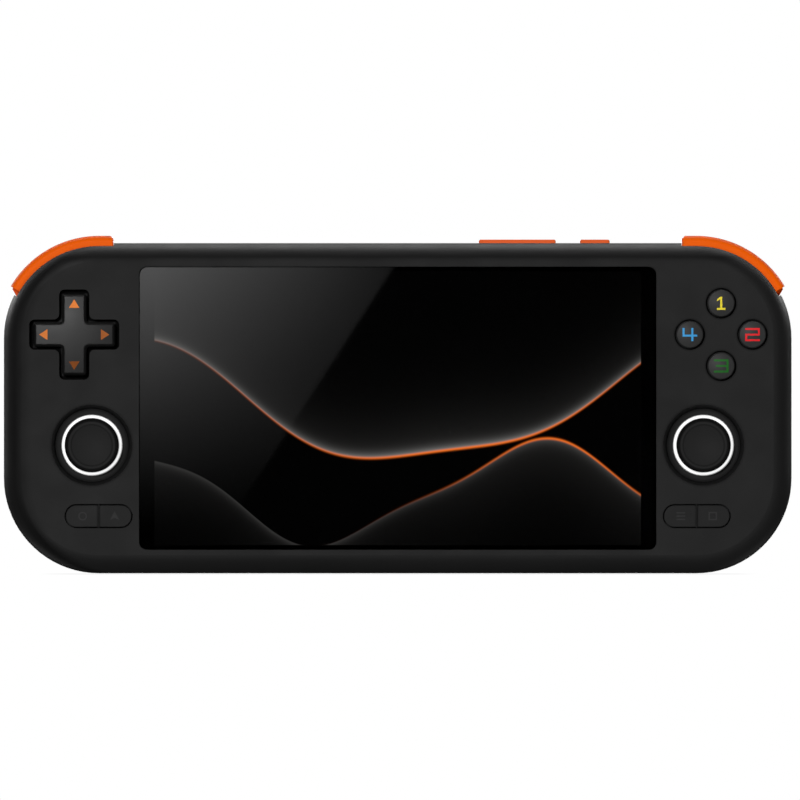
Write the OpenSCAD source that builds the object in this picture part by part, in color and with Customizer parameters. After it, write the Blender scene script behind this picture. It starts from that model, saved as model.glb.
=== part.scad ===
// Handheld game console: two moulded shells round a wide screen, with thumbsticks,
// a direction pad, face buttons, menu buttons, shoulder buttons and triggers.
// It stands upright on its bottom edge: +X is its right side, -Y its front and +Z up.

/* [Housing] */
// Width of the housing, side to side
body_w = 215.2; // [212:0.1:222]
// Height of the housing, foot to head
body_h = 90.2; // [89:0.1:94]
// Thickness of the housing without its grips
body_d = 17; // [16.5:0.1:18]
// Radius of the four corners seen from the front
corner_r = 26; // [25.5:0.1:27]
// Rounding of the front edge
front_edge_r = 5; // [4:0.1:5.4]
// Rounding of the rear edge
rear_edge_r = 4; // [3:0.1:4.2]
// Depth of the rear shell, up to the parting line
rear_shell_d = 9; // [8.8:0.1:9.2]
// Thickness of the side and rear walls
wall = 1.8; // [1.5:0.1:2]
// Thickness of the front wall
front_wall = 2.2; // [2:0.1:2.4]
// Width and depth of the shadow line between the shells
shadow_line = 0.35; // [0.2:0.05:0.5]

/* [Grips] */
// Depth of the grips behind the rear wall
grip_depth = 10; // [6:0.5:12]
// Radius of a grip across its middle
grip_r = 20; // [18:0.5:21]
// Radius of a grip's long curve
grip_sweep_r = 45; // [40:1:60]
// Height of the grips' middle above the foot
grip_y = 38; // [36:0.5:40]
// Lean of the grips towards the middle at the foot
grip_lean = 4; // [0:0.5:6]

/* [Screen] */
// Face left above and below the screen glass
glass_border = 6.55; // [6:0.05:8]
// Face left between the glass and a thumbstick's well
glass_side_gap = 2; // [1.5:0.1:4]
// Thickness of the glass
glass_t = 1.1; // [0.8:0.1:1.3]
// Corner radius of the glass
glass_r = 2; // [1:0.1:4]
// Step of the glass below the face
glass_sink = 0.1; // [0:0.05:0.2]
// Width of the ledge under the glass at its two sides
side_ledge = 2.6; // [2:0.1:4]
// Width of the ledge under the glass at its top and bottom
edge_ledge = 0.3; // [0.2:0.1:1]
// Thickness of the display panel
panel_t = 2.2; // [1.6:0.1:2.4]
// Thickness of the metal frame behind the display
frame_t = 1; // [0.6:0.1:1.2]

/* [Direction pad] */
// Distance of the pads' middle outside the top corner's centre
pad_out = 6.7; // [6.5:0.1:6.9]
// Height of the pads' middle above the top corner's centre
pad_up = 1; // [0.5:0.1:1.2]
// Length of the well for the direction pad
cross_well = 24.6; // [23:0.1:25]
// Width of the well's arms
cross_well_arm = 8.2; // [8:0.1:9]
// Length of the direction pad at its foot
cross_len = 22.4; // [20:0.1:22.6]
// Width of the direction pad's arms at their foot
cross_arm = 6.6; // [5:0.1:6.8]
// Slope of the pad's sides, from foot to top
cross_bevel = 1.1; // [0.3:0.1:1.2]
// Height of the pad above the face
cross_rise = 2; // [1:0.1:3]
// Radius of the pad's domed top
cross_crown_r = 100; // [80:5:150]
// Rounding of the pad's inner corners at its foot
cross_fillet = 1; // [0.8:0.1:1.2]
// Radius of the ball that the pad rocks on
pivot_ball_r = 1.6; // [1.2:0.1:1.7]

/* [Face buttons] */
// Distance of each button from the middle of the four
button_offset = 8.55; // [8.2:0.05:8.8]
// Diameter of a button
button_d = 7.3; // [6.5:0.1:7.6]
// Gap round a face button in its opening
face_gap = 0.5; // [0.4:0.05:0.6]
// Height of a button above the face
button_rise = 1.5; // [1.4:0.1:2.5]
// Radius of a button's domed top
button_crown_r = 14; // [12:0.5:30]
// Travel of a button
button_travel = 1; // [0.5:0.1:1]

/* [Menu buttons] */
// Distance of a pair's middle inside the thumbstick's middle
menu_in = 1.85; // [1.5:0.05:2.2]
// Distance of a pair's middle below halfway from the foot to the thumbstick
menu_drop = 1.85; // [1.5:0.05:2.2]
// Length of a pair of menu buttons
menu_len = 17.9; // [16:0.1:19]
// Height of a menu button
menu_h = 5.9; // [5:0.1:7]
// Travel of a menu button
menu_travel = 0.5; // [0.3:0.1:0.5]

/* [Thumbsticks] */
// Distance of a stick inside the pad above it
stick_in = 4.8; // [4.4:0.1:5]
// Distance of a stick below the housing's middle
stick_drop = 10.1; // [9.4:0.1:10.6]
// Radius of a stick's well at the face
well_r = 11; // [10.8:0.1:11.2]
// Radius of the well at its floor
well_floor_r = 10; // [9.8:0.1:10.2]
// Depth of the well
well_depth = 3.6; // [3.4:0.1:3.8]
// Outer radius of the light ring
ring_r = 8.25; // [8:0.05:8.5]
// Inner radius of the light ring
ring_bore_r = 6.6; // [6.5:0.05:6.8]
// Radius of the stick's cap
cap_r = 7.4; // [6.8:0.05:7.5]
// Radius of the dish in the cap
dish_r = 5.6; // [5:0.1:6.4]
// Thickness of the cap at its rim
cap_t = 3; // [2.5:0.1:3.2]
// Height of the cap's underside above the face
cap_lift = 0.4; // [0.3:0.1:0.8]
// Depth of the stick's pivot below the face
pivot_depth = 7.2; // [7.1:0.1:7.4]
// Radius of the stick's lever
lever_r = 0.9; // [0.8:0.05:1]

/* [Shoulder buttons and triggers] */
// Radius of a shoulder button's outside about the corner's centre
shoulder_r = 28; // [27.5:0.1:28.5]
// Radius of a shoulder button's inside
shoulder_in_r = 22; // [21.8:0.1:22.4]
// Distance of the face's edge inside the housing's outline, in front of a shoulder button
lip_in = 0.8; // [0.7:0.1:1.5]
// Reach of the shoulder button beyond the corner, towards the middle
shoulder_run = 3.6; // [3:0.1:4]
// Angle above the horizontal where a shoulder button ends
shoulder_end = 30.5; // [30:0.5:34]
// Angle above the horizontal where the bay in the housing ends
bay_end = 27; // [26:0.5:28]
// Radius of the bay behind the shoulder button and trigger
bay_r = 20.4; // [20.2:0.1:20.5]
// Radius of a trigger's outside
trigger_r = 27.3; // [27:0.1:27.8]
// Thickness of a trigger's skin
trigger_skin = 2.7; // [2:0.1:2.8]
// Reach of a trigger behind the rear wall
trigger_back = 2.6; // [2.4:0.1:4]
// Direction in which a trigger is pulled, above the horizontal
trigger_dir = 60; // [59:0.5:61]
// Diameter of the hinge pins
pin_d = 1.6; // [1.4:0.1:1.8]

/* [Top keys] */
// Distance of the volume key's middle right of the screen's middle
volume_x = 32.7; // [30:0.1:34]
// Length of the volume key
volume_len = 21; // [18:0.5:22]
// Distance of the power key's middle right of the screen's middle
power_x = 53.9; // [52:0.1:56]
// Length of the power key
power_len = 8.1; // [6:0.1:9]
// Width of both keys, front to back
key_w = 3.2; // [2.6:0.1:3.4]
// Height of both keys above the top edge
key_rise = 1; // [0.6:0.1:1.4]

/* [Ports] */
// Depth of the ports' middle in front of the rear wall's outside
port_z = 6.4; // [6.3:0.1:6.6]
// Width of the charging port's shell
usb_w = 8.94; // [8.94:0.01:8.94]
// Height of the charging port's shell
usb_h = 3.26; // [3.26:0.01:3.26]
// Diameter of the headphone jack's bore
jack_d = 3.5; // [3.5:0.1:3.5]
// Distance of the headphone jack left of the middle
jack_x = 16; // [14:0.5:18]
// Distance of the card slot's middle inside the left speaker
card_in = 11.35; // [10.5:0.05:13]
// Width of the card slot
card_w = 11.6; // [11.4:0.1:12]

/* [Inside] */
// Length of the battery
battery_w = 96; // [80:1:100]
// Thickness of the battery
battery_t = 8.6; // [6:0.1:9]
// Side of the fan's square housing
fan_side = 38; // [34:0.5:40]
// Distance of the fan's middle left of the screen's middle
fan_x = 27; // [26:0.5:30]
// Gap between the battery and the fan
fan_gap = 3; // [2:0.5:6]
// Length of the fins between the fan and the top wall
fin_len = 8; // [6:0.1:9]
// Number of blades on the fan
fan_blades = 15; // [9:1:21]
// Thickness of the circuit boards
board_t = 1; // [0.8:0.1:1.2]

/* [Fits] */
// Gap round a button in its opening
button_gap = 0.3; // [0.25:0.05:0.35]
// Radial clearance of a pin in its bore
running_fit = 0.05; // [0.03:0.01:0.08]
// Clearance of a fixed piece in its seat
seat_fit = 0.1; // [0.05:0.05:0.15]

/* [Hidden] */
$fn = 96;
eps = 1;

// Colours
shell_black = [0.16, 0.16, 0.16];
pad_grey = [0.26, 0.26, 0.26];
orange = [0.91, 0.36, 0.07];
deep_orange = [0.85, 0.30, 0.02];
glass_black = [0.02, 0.02, 0.02];
light_white = [0.97, 0.97, 0.97];
steel = [0.70, 0.71, 0.73];
copper = [0.72, 0.42, 0.25];
board_green = [0.06, 0.28, 0.16];
rubber_grey = [0.45, 0.45, 0.46];

// Housing: corner centres, parting plane and inner faces
half_w = body_w / 2;
corner_x = half_w - corner_r;
foot_y = corner_r;
head_y = body_h - corner_r;
parting_z = rear_shell_d;
front_in_z = body_d - front_wall;
rear_in_z = wall;
cavity_edge_r = front_edge_r - wall;
rear_cavity_r = rear_edge_r - wall;
top_in_y = body_h - wall;
wall_in_r = corner_r - wall;

// Controls: both sides mirror each other about the middle
pad_x = corner_x + pad_out;
pad_y = head_y + pad_up;
stick_x = pad_x - stick_in;
stick_y = body_h / 2 - stick_drop;
menu_x = stick_x - menu_in;
menu_y = stick_y / 2 - menu_drop;

// Screen stack, from the face inwards
glass_w = 2 * (stick_x - well_r - glass_side_gap);
glass_h = body_h - 2 * glass_border;
glass_z = body_d - glass_sink - glass_t;
window_w = glass_w - 2 * side_ledge;
window_h = glass_h - 2 * edge_ledge;
panel_w = window_w - 4 * seat_fit;
panel_h = window_h - 4 * seat_fit;
panel_z = glass_z - panel_t;
frame_z = panel_z - frame_t;
frame_w = window_w + 1.8;
frame_h = body_h - 2 * (wall + 1.5);
frame_pad_r = 2;
frame_pad_x = 58;
frame_pad_y = (body_h / 2 + glass_h / 2 + seat_fit + top_in_y) / 2;

// Control boards lie below the buttons, with their rubber mats on top
board_top_z = front_in_z - 5.4;
board_z = board_top_z - board_t;
mat_t = 0.5;
mat_top_z = board_top_z + mat_t;
pad_top_z = board_top_z + 0.75;
post_r = 2;
pilot_r = 0.8;
screw_hole_r = pilot_r + 0.3;
screw_head_t = 1;
screw_head_r = 1.7;
board_posts = [
    [pad_x - 12.3, stick_y + 15],
    [pad_x + 13.7, pad_y - 13.2],
    [corner_x + 16.45, foot_y - 14]
];

// Direction pad
pivot_z = board_top_z + pivot_ball_r;
flange_t = 1.2;
flange_z = pivot_z + 0.8;
flange_len = cross_well + 1.2;
flange_arm = cross_well_arm + 1.6;
cross_top_z = body_d + cross_rise;
well_corner = 1.5;
well_fillet = 1.6;
pad_mat_r = 10.6;
pad_contact_r = 2.2;
pad_contact_at = 7.6;

// Face buttons and menu buttons hang below the front wall by a flange
flange_gap = 0.05;
button_flange_r = button_d / 2 + 1.4;
button_flange_t = 1.1;
button_foot_z = pad_top_z + button_travel + 0.2;
button_top_z = body_d + button_rise;
button_contact_r = 2.6;
hung_z = front_in_z - flange_gap - button_flange_t;
menu_lip = 0.8;
menu_split = 0.4;
menu_rise = 0.1;
menu_foot_z = pad_top_z + menu_travel + 0.2;
face_places = [[0, 1], [1, 0], [0, -1], [-1, 0]];

// Thumbsticks
well_floor_z = body_d - well_depth;
well_floor_t = 1;
well_cup_r = well_r + 1.2;
ring_proud = 0.3;
ring_flange_t = 0.8;
ring_flange_w = 1.1;
stick_z = body_d - pivot_depth;
frame_half = 7.5;
frame_in = 5.7;
frame_in_r = 0.6;
stick_pin_end = frame_half - 0.2;
frame_top = well_floor_z - well_floor_t - ring_flange_t - 0.2 - stick_z;
frame_floor = -5.3;
frame_base = frame_floor - 0.8;
ear_d = 4.2;
ear_t = 1;
ear_reach = 9.5;
ear_span = 2 * ear_reach;
yoke_pin_r = 0.6;
bar_pin_r = 0.8;
bar_ball_r = 5;
bar_half_w = 3;
bar_half_h = 1.8;
trunnion_r = 1.9;
trunnion_half = 1.7;
trunnion_pin_r = 0.7;
trunnion_pin_end = bar_half_w - 0.1;
trunnion_gap = 0.3;
yoke_arm_y = 4.1;
yoke_arm_t = 1.1;
yoke_half_x = 1.9;
yoke_top = -3.5;
yoke_foot = -4.6;
slot_gap = 0.12;
tail_end = -4.5;
dome_r = 6.2;
dome_t = 0.8;
dome_edge = 3.5;
dome_room = 0.5;
dome_seat = 0.95;
cap_under = body_d + cap_lift - stick_z;
cap_top = cap_under + cap_t;
lever_top = cap_under + 1.2;

// Shoulder buttons and triggers, in a frame at the corner's centre
bay_roof_t = 0.6;
bay_top_z = front_in_z - bay_roof_t;
lip_r = corner_r - lip_in;
shoulder_z0 = parting_z + 0.2;
shoulder_z1 = bay_top_z - 0.3;
shoulder_pin = [-shoulder_run - 0.7, shoulder_in_r - 0.2];
pin_top_z = front_in_z + 1;
lug_r = 2;
pin_r = pin_d / 2;
ledge_t = 1;
ledge_gap = 0.25;
pocket_x = shoulder_pin[0] - lug_r - 0.6;
trigger_z1 = parting_z - 0.8;
trigger_z0 = -trigger_back;
trigger_plate_t = 1.5;
trigger_in_r = trigger_r - trigger_skin;
trigger_plate_in_r = trigger_in_r - 2.2;
hinge_u = bay_r + 1.6;
hinge_z = parting_z - 2.6;
barrel_r = 1.3;
barrel_half = 4;
hinge_lug_r = 1.5;
hinge_lug_t = 1.8;
hinge_lug_gap = 0.3;
trigger_end = shoulder_end - 0.9;
end_gap = 0.5;
strip_low = -trigger_r * sin(trigger_dir - trigger_end);
strip_high = shoulder_run * sin(trigger_dir) + corner_r * cos(trigger_dir);
bay_run = corner_r - 6;
spring_len = 2.4;
spring_r = 1.4;
spring_wire = 0.5;
spring_play = 0.1;
barrel_end = barrel_half - spring_len;
switch_angle = 45;
switch_w = 4;
switch_t = 0.6;
switch_z0 = parting_z + ledge_t;

// Top keys
key_z = 6;
key_flange = 1;
key_flange_t = 1;
key_flange_y = top_in_y - 0.4 - key_flange_t;
key_back_y = key_flange_y - 0.4;
key_board_y = key_back_y - 3.2;
key_edge_r = 0.9;
key_top_r = 0.5;
rocker_nub_r = 0.6;
rocker_play = 0.1;
key_play = 0.7;

// Ports and inner pieces
speaker_x0 = menu_x - 19.6;
card_x = speaker_x0 - card_in;
usb_len = 7.5;
usb_y = 0.7;
usb_shell_t = 0.3;
io_board_z = port_z - usb_h / 2 - board_t;
io_x0 = -card_x - 9;
io_x1 = usb_w / 2 + 7;
io_y0 = wall + 0.6;
io_y1 = 13.2;
io_posts = [[-card_x + card_w / 2 + 5.5, io_y1 - 2.4], [io_x1 - 3, io_y1 - 2.4]];
jack_collar_r = 2.4;
jack_body_w = 6.4;
jack_len = 12;
card_socket_w = card_w + 3;
card_slot_h = 1.4;
card_slot_r = 0.4;
fin_y1 = top_in_y - 0.2;
fin_y0 = fin_y1 - fin_len;
fan_y = fin_y0 - 0.2 - fan_side / 2;
battery_x0 = -42;
battery_y0 = io_y1 + 0.8;
battery_h = fan_y - fan_side / 2 - fan_gap - battery_y0;
fan_z1 = 9.4;
fan_wall = 1.2;
rotor_r = fan_side / 2 - 3.5;
rotor_hub_r = 6;
axle_r = 1;
fin_half = fan_side / 2 - 2;
fin_x0 = -fan_x - fin_half;
fin_x1 = -fan_x + fin_half;
fin_z0 = rear_edge_r + 0.2;
fin_z1 = 8.4;
main_x0 = 3;
main_x1 = stick_x - 18.5;
main_y0 = battery_y0 + battery_h + 4;
main_y1 = fin_y0 + 0.3;
main_z = 5.6;
main_posts = [[main_x0 + 4, main_y0 + 4], [main_x1 - 4, main_y0 + 4], [main_x1 - 4, main_y1 - 4]];
chip_at = [main_x1 - 41, main_y0 + 17];
chip_t = fin_z1 - main_z - board_t;
pipe_t = 1.6;
case_posts = [[stick_x - 12, stick_y - 11], [stick_x - 12, stick_y + 17]];
case_post_r = 2.2;
case_boss_r = 2.6;
case_head_z = 1.6;
speaker_w = 18;
speaker_y0 = rear_edge_r + 0.2;
speaker_h = 9;
speaker_z1 = board_z - 0.4;
motor_at = [pad_x - 1, grip_y - 12];
motor_r = 5;
motor_t = 3.4;
motor_z = 7 - grip_depth;
slot_w = 1.2;
speaker_slots = 7;
fin_slots = 12;

// Depth of the whole console, from the stick caps to the grips
front_z = stick_z + cap_top;
mid_z = (front_z - grip_depth) / 2;

// Frames and helpers

// Turns the face frame (x right, y up, z towards the player) upright
module upright() {
    translate([0, mid_z, 0]) rotate([90, 0, 0]) children();
}

// Mirrors a right-hand piece to the left
module on_side(side) {
    mirror([side < 0 ? 1 : 0, 0, 0]) children();
}

module both_sides() {
    for (side = [-1, 1]) on_side(side) children();
}

module rounded_rect(w, h, r) {
    square([w - 2 * r, h], center = true);
    square([w, h - 2 * r], center = true);
    for (x = [-1, 1], y = [-1, 1]) translate([x * (w / 2 - r), y * (h / 2 - r)]) circle(r);
}

module rounded_plate(w, h, r, z0, z1) {
    translate([0, 0, z0]) linear_extrude(z1 - z0) rounded_rect(w, h, r);
}

// A tube along z between two heights
module tube(r_out, r_in, z0, z1) {
    translate([0, 0, z0]) linear_extrude(z1 - z0) difference() {
        circle(r_out);
        circle(r_in);
    }
}

module rod(r, z0, z1) {
    translate([0, 0, z0]) cylinder(r = r, h = z1 - z0);
}

module block(x0, x1, y0, y1, z0, z1) {
    translate([x0, y0, z0]) cube([x1 - x0, y1 - y0, z1 - z0]);
}

// Half of a section through the housing, with its front and rear edges rounded
module edge_section(reach, z0, z1, front_r, rear_r) {
    difference() {
        translate([0, z0]) square([reach, z1 - z0]);
        if (front_r > 0) difference() {
            translate([reach - front_r, z1 - front_r]) square(front_r + eps);
            translate([reach - front_r, z1 - front_r]) circle(front_r);
        }
        if (rear_r > 0) difference() {
            translate([reach - rear_r, z0 - eps]) square(rear_r + eps);
            translate([reach - rear_r, z0 + rear_r]) circle(rear_r);
        }
    }
}

module full_section(reach, z0, z1, front_r, rear_r) {
    edge_section(reach, z0, z1, front_r, rear_r);
    mirror([1, 0]) edge_section(reach, z0, z1, front_r, rear_r);
}

// The housing's rounded form, drawn in by an inset
module housing(inset, z0, z1, front_r, rear_r) {
    reach = corner_r - inset;
    corners = [[corner_x, head_y], [-corner_x, head_y], [-corner_x, foot_y], [corner_x, foot_y]];
    translate([0, head_y, 0]) rotate([90, 0, 0]) linear_extrude(head_y - foot_y)
        full_section(half_w - inset, z0, z1, front_r, rear_r);
    translate([-corner_x, body_h / 2, 0]) rotate([90, 0, 90]) linear_extrude(2 * corner_x)
        full_section(body_h / 2 - inset, z0, z1, front_r, rear_r);
    for (i = [0:3]) translate(corners[i]) rotate([0, 0, 90 * i]) rotate_extrude(angle = 90)
        edge_section(reach, z0, z1, front_r, rear_r);
}

// A palm grip: a spindle whose axis lies inside the rear shell
module grip(inset) {
    half_len = sqrt(pow(grip_sweep_r, 2) - pow(grip_sweep_r - grip_depth, 2)) + eps;
    intersection() {
        translate([pad_x, grip_y, grip_r - grip_depth]) rotate([-90, 0, -grip_lean]) rotate_extrude()
            intersection() {
                translate([grip_r - grip_sweep_r, 0]) circle(grip_sweep_r - inset, $fn = 180);
                translate([0, -half_len]) square([grip_r, 2 * half_len]);
            }
        block(0, half_w, 0, body_h, -grip_depth - eps, rear_edge_r);
    }
}

// A band round a top corner, run on a little way along the top edge
module corner_band(section_run) {
    rotate_extrude(angle = 90) children();
    translate([-section_run, 0, 0]) rotate([90, 0, 90]) linear_extrude(section_run) children();
}

module band_section(r_in, r_out, z0, z1) {
    translate([r_in, z0]) square([r_out - r_in, z1 - z0]);
}

module at_corner() {
    translate([corner_x, head_y, 0]) children();
}

// The frame of a trigger's hinge: u is the pull direction, v runs along the pin
module at_trigger() {
    at_corner() rotate([0, 0, trigger_dir]) children();
}

// Space between two planes square to a trigger's pin
module trigger_strip(low, high, z0, z1) {
    rotate([0, 0, trigger_dir]) block(0, 3 * corner_r, low, high, z0, z1);
}

// Space above a ray from the corner's centre and right of a plane
module above_ray(angle, x0, z0, z1) {
    difference() {
        block(x0, 3 * corner_r, 0, 3 * corner_r, z0, z1);
        rotate([0, 0, angle]) block(-3 * corner_r, 3 * corner_r, -3 * corner_r, 0, z0 - eps, z1 + eps);
    }
}

// Walls of the bay in the front shell, before the bay is cut
module front_bay_block() {
    at_corner() intersection() {
        corner_band(-pocket_x + wall)
            band_section(bay_r - wall, wall_in_r + wall / 4, parting_z, front_in_z + wall / 4);
        above_ray(bay_end - 5, pocket_x - wall, parting_z, front_in_z + eps);
    }
}

// Space of the shoulder button and of its hinge lug
module front_bay() {
    at_corner() {
        intersection() {
            corner_band(shoulder_run + end_gap)
                band_section(bay_r, 2 * corner_r, parting_z - eps, bay_top_z);
            above_ray(bay_end, -shoulder_run - end_gap, parting_z - eps, bay_top_z);
        }
        block(pocket_x, 0, bay_r - eps, wall_in_r, parting_z + ledge_t, bay_top_z);
        intersection() {
            corner_band(shoulder_run + end_gap)
                band_section(lip_r, 2 * corner_r, bay_top_z - eps, body_d + eps);
            above_ray(bay_end, -shoulder_run - end_gap, bay_top_z - eps, body_d + eps);
        }
    }
}

// Seat for the rear end of a shoulder button's pin
module pin_ledge() {
    ledge_end = -1.6;
    at_corner()
        block(pocket_x - wall / 2, ledge_end, bay_r - wall / 2, wall_in_r, parting_z, parting_z + ledge_t);
}

module rear_bay_block() {
    at_corner() intersection() {
        corner_band(bay_run) {
            band_section(bay_r - wall, corner_r - rear_edge_r, 0, parting_z);
            band_section(bay_r - wall, wall_in_r + wall / 4, wall, parting_z);
        }
        trigger_strip(strip_low - end_gap - wall, strip_high + end_gap + wall, 0, parting_z);
    }
}

module rear_bay() {
    at_corner() intersection() {
        corner_band(bay_run) band_section(bay_r, 2 * corner_r, -eps, parting_z + eps);
        trigger_strip(strip_low - end_gap, strip_high + end_gap, -eps, parting_z + eps);
    }
}

// Lugs on the bay's wall that carry a trigger's pin
module trigger_lugs() {
    foot = bay_r - wall;
    at_trigger() for (end = [-1, 1]) difference() {
        translate([0, end * (barrel_half + hinge_lug_gap + hinge_lug_t / 2), 0]) rotate([90, 0, 0])
            linear_extrude(hinge_lug_t, center = true) {
                translate([hinge_u, hinge_z]) circle(hinge_lug_r);
                translate([foot, hinge_z - hinge_lug_r]) square([hinge_u - foot, 2 * hinge_lug_r]);
            }
        translate([hinge_u, 0, hinge_z]) rotate([90, 0, 0])
            cylinder(r = pin_r, h = 2 * corner_r, center = true);
    }
}

// The plus-shaped outline of the direction pad's well
module cross_outline(len, arm, corner, fillet) {
    rounded_rect(len, arm, corner);
    rounded_rect(arm, len, corner);
    for (x = [-1, 1], y = [-1, 1]) translate([x * arm / 2, y * arm / 2]) mirror([x < 0 ? 1 : 0, 0])
        mirror([0, y < 0 ? 1 : 0]) difference() {
            translate([-fillet, -fillet]) square(2 * fillet);
            translate([fillet, fillet]) circle(fillet);
        }
}

// One half of a menu pair, its round end outwards, grown by a margin
module half_pill(margin) {
    r = menu_h / 2 + margin;
    straight = menu_len / 2 - menu_h / 2;
    translate([menu_split / 2, -r]) square([straight - menu_split / 2, 2 * r]);
    intersection() {
        translate([straight, 0]) circle(r);
        translate([straight - eps, -r]) square([r + eps, 2 * r]);
    }
}

module menu_opening() {
    r = menu_h / 2 + button_gap;
    square([menu_len - menu_h, 2 * r], center = true);
    for (x = [-1, 1]) translate([x * (menu_len - menu_h) / 2, 0]) circle(r);
}

// Places of the sub-assemblies
module at_pad() {
    translate([pad_x, pad_y, 0]) children();
}

module at_stick() {
    translate([stick_x, stick_y, 0]) children();
}

module at_menu() {
    translate([menu_x, menu_y, 0]) children();
}

module at_face_button(i) {
    at_pad() translate(button_offset * face_places[i]) children();
}

// Ears of a stick's frame stand on posts of the front shell, on one diagonal
module at_ears() {
    for (end = [-1, 1]) translate([-end * ear_reach, end * ear_reach, 0]) children();
}

// A prism with round corners through the top edge, for a key or its opening
module key_prism(x, len, w, r, y0, y1) {
    translate([x, y1, key_z]) rotate([90, 0, 0]) linear_extrude(y1 - y0) rounded_rect(len, w, r);
}

module key_opening(x, len) {
    grow = 2 * button_gap;
    key_prism(x, len + grow, key_w + grow, key_edge_r, top_in_y - eps, body_h + eps);
}

// Row of slots cut through the wall at the foot or head
module slot_row(x0, x1, count, y) {
    end_in = 2;
    half = 2;
    pitch = (x1 - x0 - 2 * end_in) / (count - 1);
    for (i = [0:count - 1]) translate([x0 + end_in + i * pitch, y, port_z])
        block(-slot_w / 2, slot_w / 2, -wall, wall, -half, half);
}

// Housing and screen

module stick_well() {
    rotate_extrude() polygon([
        [0, well_floor_z], [well_floor_r, well_floor_z], [well_r, body_d],
        [well_r, body_d + eps], [0, body_d + eps]
    ]);
    rod(ring_r + seat_fit, well_floor_z - well_floor_t - eps, well_floor_z + eps);
}

module front_shell_solid() {
    difference() {
        housing(0, parting_z, body_d, front_edge_r, 0);
        housing(wall, parting_z - eps, front_in_z, cavity_edge_r, 0);
    }
    both_sides() {
        front_bay_block();
        at_stick() {
            rod(well_cup_r, well_floor_z - well_floor_t, front_in_z + eps / 2);
            at_ears() rod(post_r, stick_z + frame_top, front_in_z + eps / 2);
        }
        for (p = board_posts) translate(p) rod(post_r, board_top_z, front_in_z + eps / 2);
        for (p = case_posts) translate(p) rod(case_post_r, parting_z, front_in_z + eps / 2);
        for (y = [frame_pad_y, body_h - frame_pad_y]) translate([frame_pad_x, y, 0])
            rod(frame_pad_r, panel_z, front_in_z + eps / 2);
    }
}

// Runs a flat outline through the front wall
module through_front() {
    translate([0, 0, front_in_z - eps]) linear_extrude(front_wall + 2 * eps) children();
}

module front_shell() {
    seat_w = glass_w + 2 * seat_fit;
    seat_h = glass_h + 2 * seat_fit;
    color(shell_black) upright() {
        difference() {
            front_shell_solid();
            translate([0, body_h / 2, 0]) {
                rounded_plate(seat_w, seat_h, glass_r + seat_fit, glass_z, body_d + eps);
                rounded_plate(window_w, window_h, glass_r, front_in_z - 2 * eps, glass_z + eps);
            }
            on_side(-1) at_pad() through_front()
                cross_outline(cross_well, cross_well_arm, well_corner, well_fillet);
            for (i = [0:3]) at_face_button(i) through_front() circle(button_d / 2 + face_gap);
            both_sides() {
                at_menu() through_front() menu_opening();
                at_stick() {
                    stick_well();
                    at_ears() rod(pilot_r, stick_z, front_in_z);
                }
                front_bay();
                at_corner() translate(shoulder_pin) rod(pin_r, parting_z - eps, pin_top_z);
                for (p = board_posts) translate(p) rod(pilot_r, board_top_z - eps, front_in_z);
                for (p = case_posts) translate(p) rod(pilot_r, parting_z - eps, front_in_z);
            }
        }
        both_sides() difference() {
            pin_ledge();
            at_corner() translate(shoulder_pin) rod(pin_r, parting_z - eps, parting_z + 2 * ledge_t);
        }
    }
}

module rear_shell_solid() {
    difference() {
        union() {
            housing(0, 0, parting_z - shadow_line, 0, rear_edge_r);
            housing(shadow_line, parting_z - shadow_line - eps / 2, parting_z, 0, 0);
            both_sides() grip(0);
        }
        housing(wall, rear_in_z, parting_z + eps, 0, rear_cavity_r);
        both_sides() grip(wall);
    }
    both_sides() {
        rear_bay_block();
        for (p = case_posts) translate(p) rod(case_boss_r, 0, parting_z);
        intersection() {
            translate(motor_at) rod(motor_r - 1, -grip_depth, motor_z);
            grip(wall / 2);
        }
    }
    for (p = main_posts) translate(p) rod(post_r, rear_in_z - eps / 2, main_z);
    for (p = io_posts) translate(p) rod(post_r, rear_in_z - eps / 2, io_board_z);
}

module fan_grille() {
    rows = 9;
    pitch = 3;
    for (i = [0:rows - 1]) {
        y = (i - (rows - 1) / 2) * pitch;
        half = sqrt(pow(rotor_r, 2) - pow(y, 2));
        translate([-fan_x, fan_y + y, -eps]) linear_extrude(rear_in_z + 2 * eps) {
            square([2 * half - slot_w, slot_w], center = true);
            for (x = [-1, 1]) translate([x * (half - slot_w / 2), 0]) circle(slot_w / 2);
        }
    }
}

module rear_shell() {
    color(shell_black) upright() {
        difference() {
            rear_shell_solid();
            both_sides() {
                rear_bay();
                for (p = case_posts) translate(p) {
                    rod(screw_head_r + 0.5, -grip_depth, case_head_z);
                    rod(screw_hole_r, 0, parting_z + eps);
                }
                slot_row(speaker_x0, speaker_x0 + speaker_w, speaker_slots, wall / 2);
            }
            fan_grille();
            slot_row(fin_x0, fin_x1, fin_slots, body_h - wall / 2);
            for (p = main_posts) translate(p) rod(pilot_r, rear_in_z, main_z + eps);
            for (p = io_posts) translate(p) rod(pilot_r, rear_in_z, io_board_z + eps);
            translate([0, wall + eps, port_z]) rotate([90, 0, 0]) {
                linear_extrude(wall + 2 * eps) {
                    rounded_rect(usb_w + 4 * seat_fit, usb_h + 4 * seat_fit, usb_h / 2);
                    translate([-card_x, 0]) rounded_rect(card_w, card_slot_h, card_slot_r);
                    translate([-jack_x, 0]) circle(jack_collar_r + seat_fit);
                }
            }
            key_opening(volume_x, volume_len);
            key_opening(power_x, power_len);
        }
        both_sides() trigger_lugs();
    }
}

module screen_glass() {
    color(glass_black) upright() translate([0, body_h / 2, 0])
        rounded_plate(glass_w, glass_h, glass_r, glass_z, glass_z + glass_t);
}

module display_panel() {
    color(glass_black) upright() translate([0, body_h / 2, 0])
        rounded_plate(panel_w, panel_h, glass_r - seat_fit, panel_z, glass_z);
}

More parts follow.
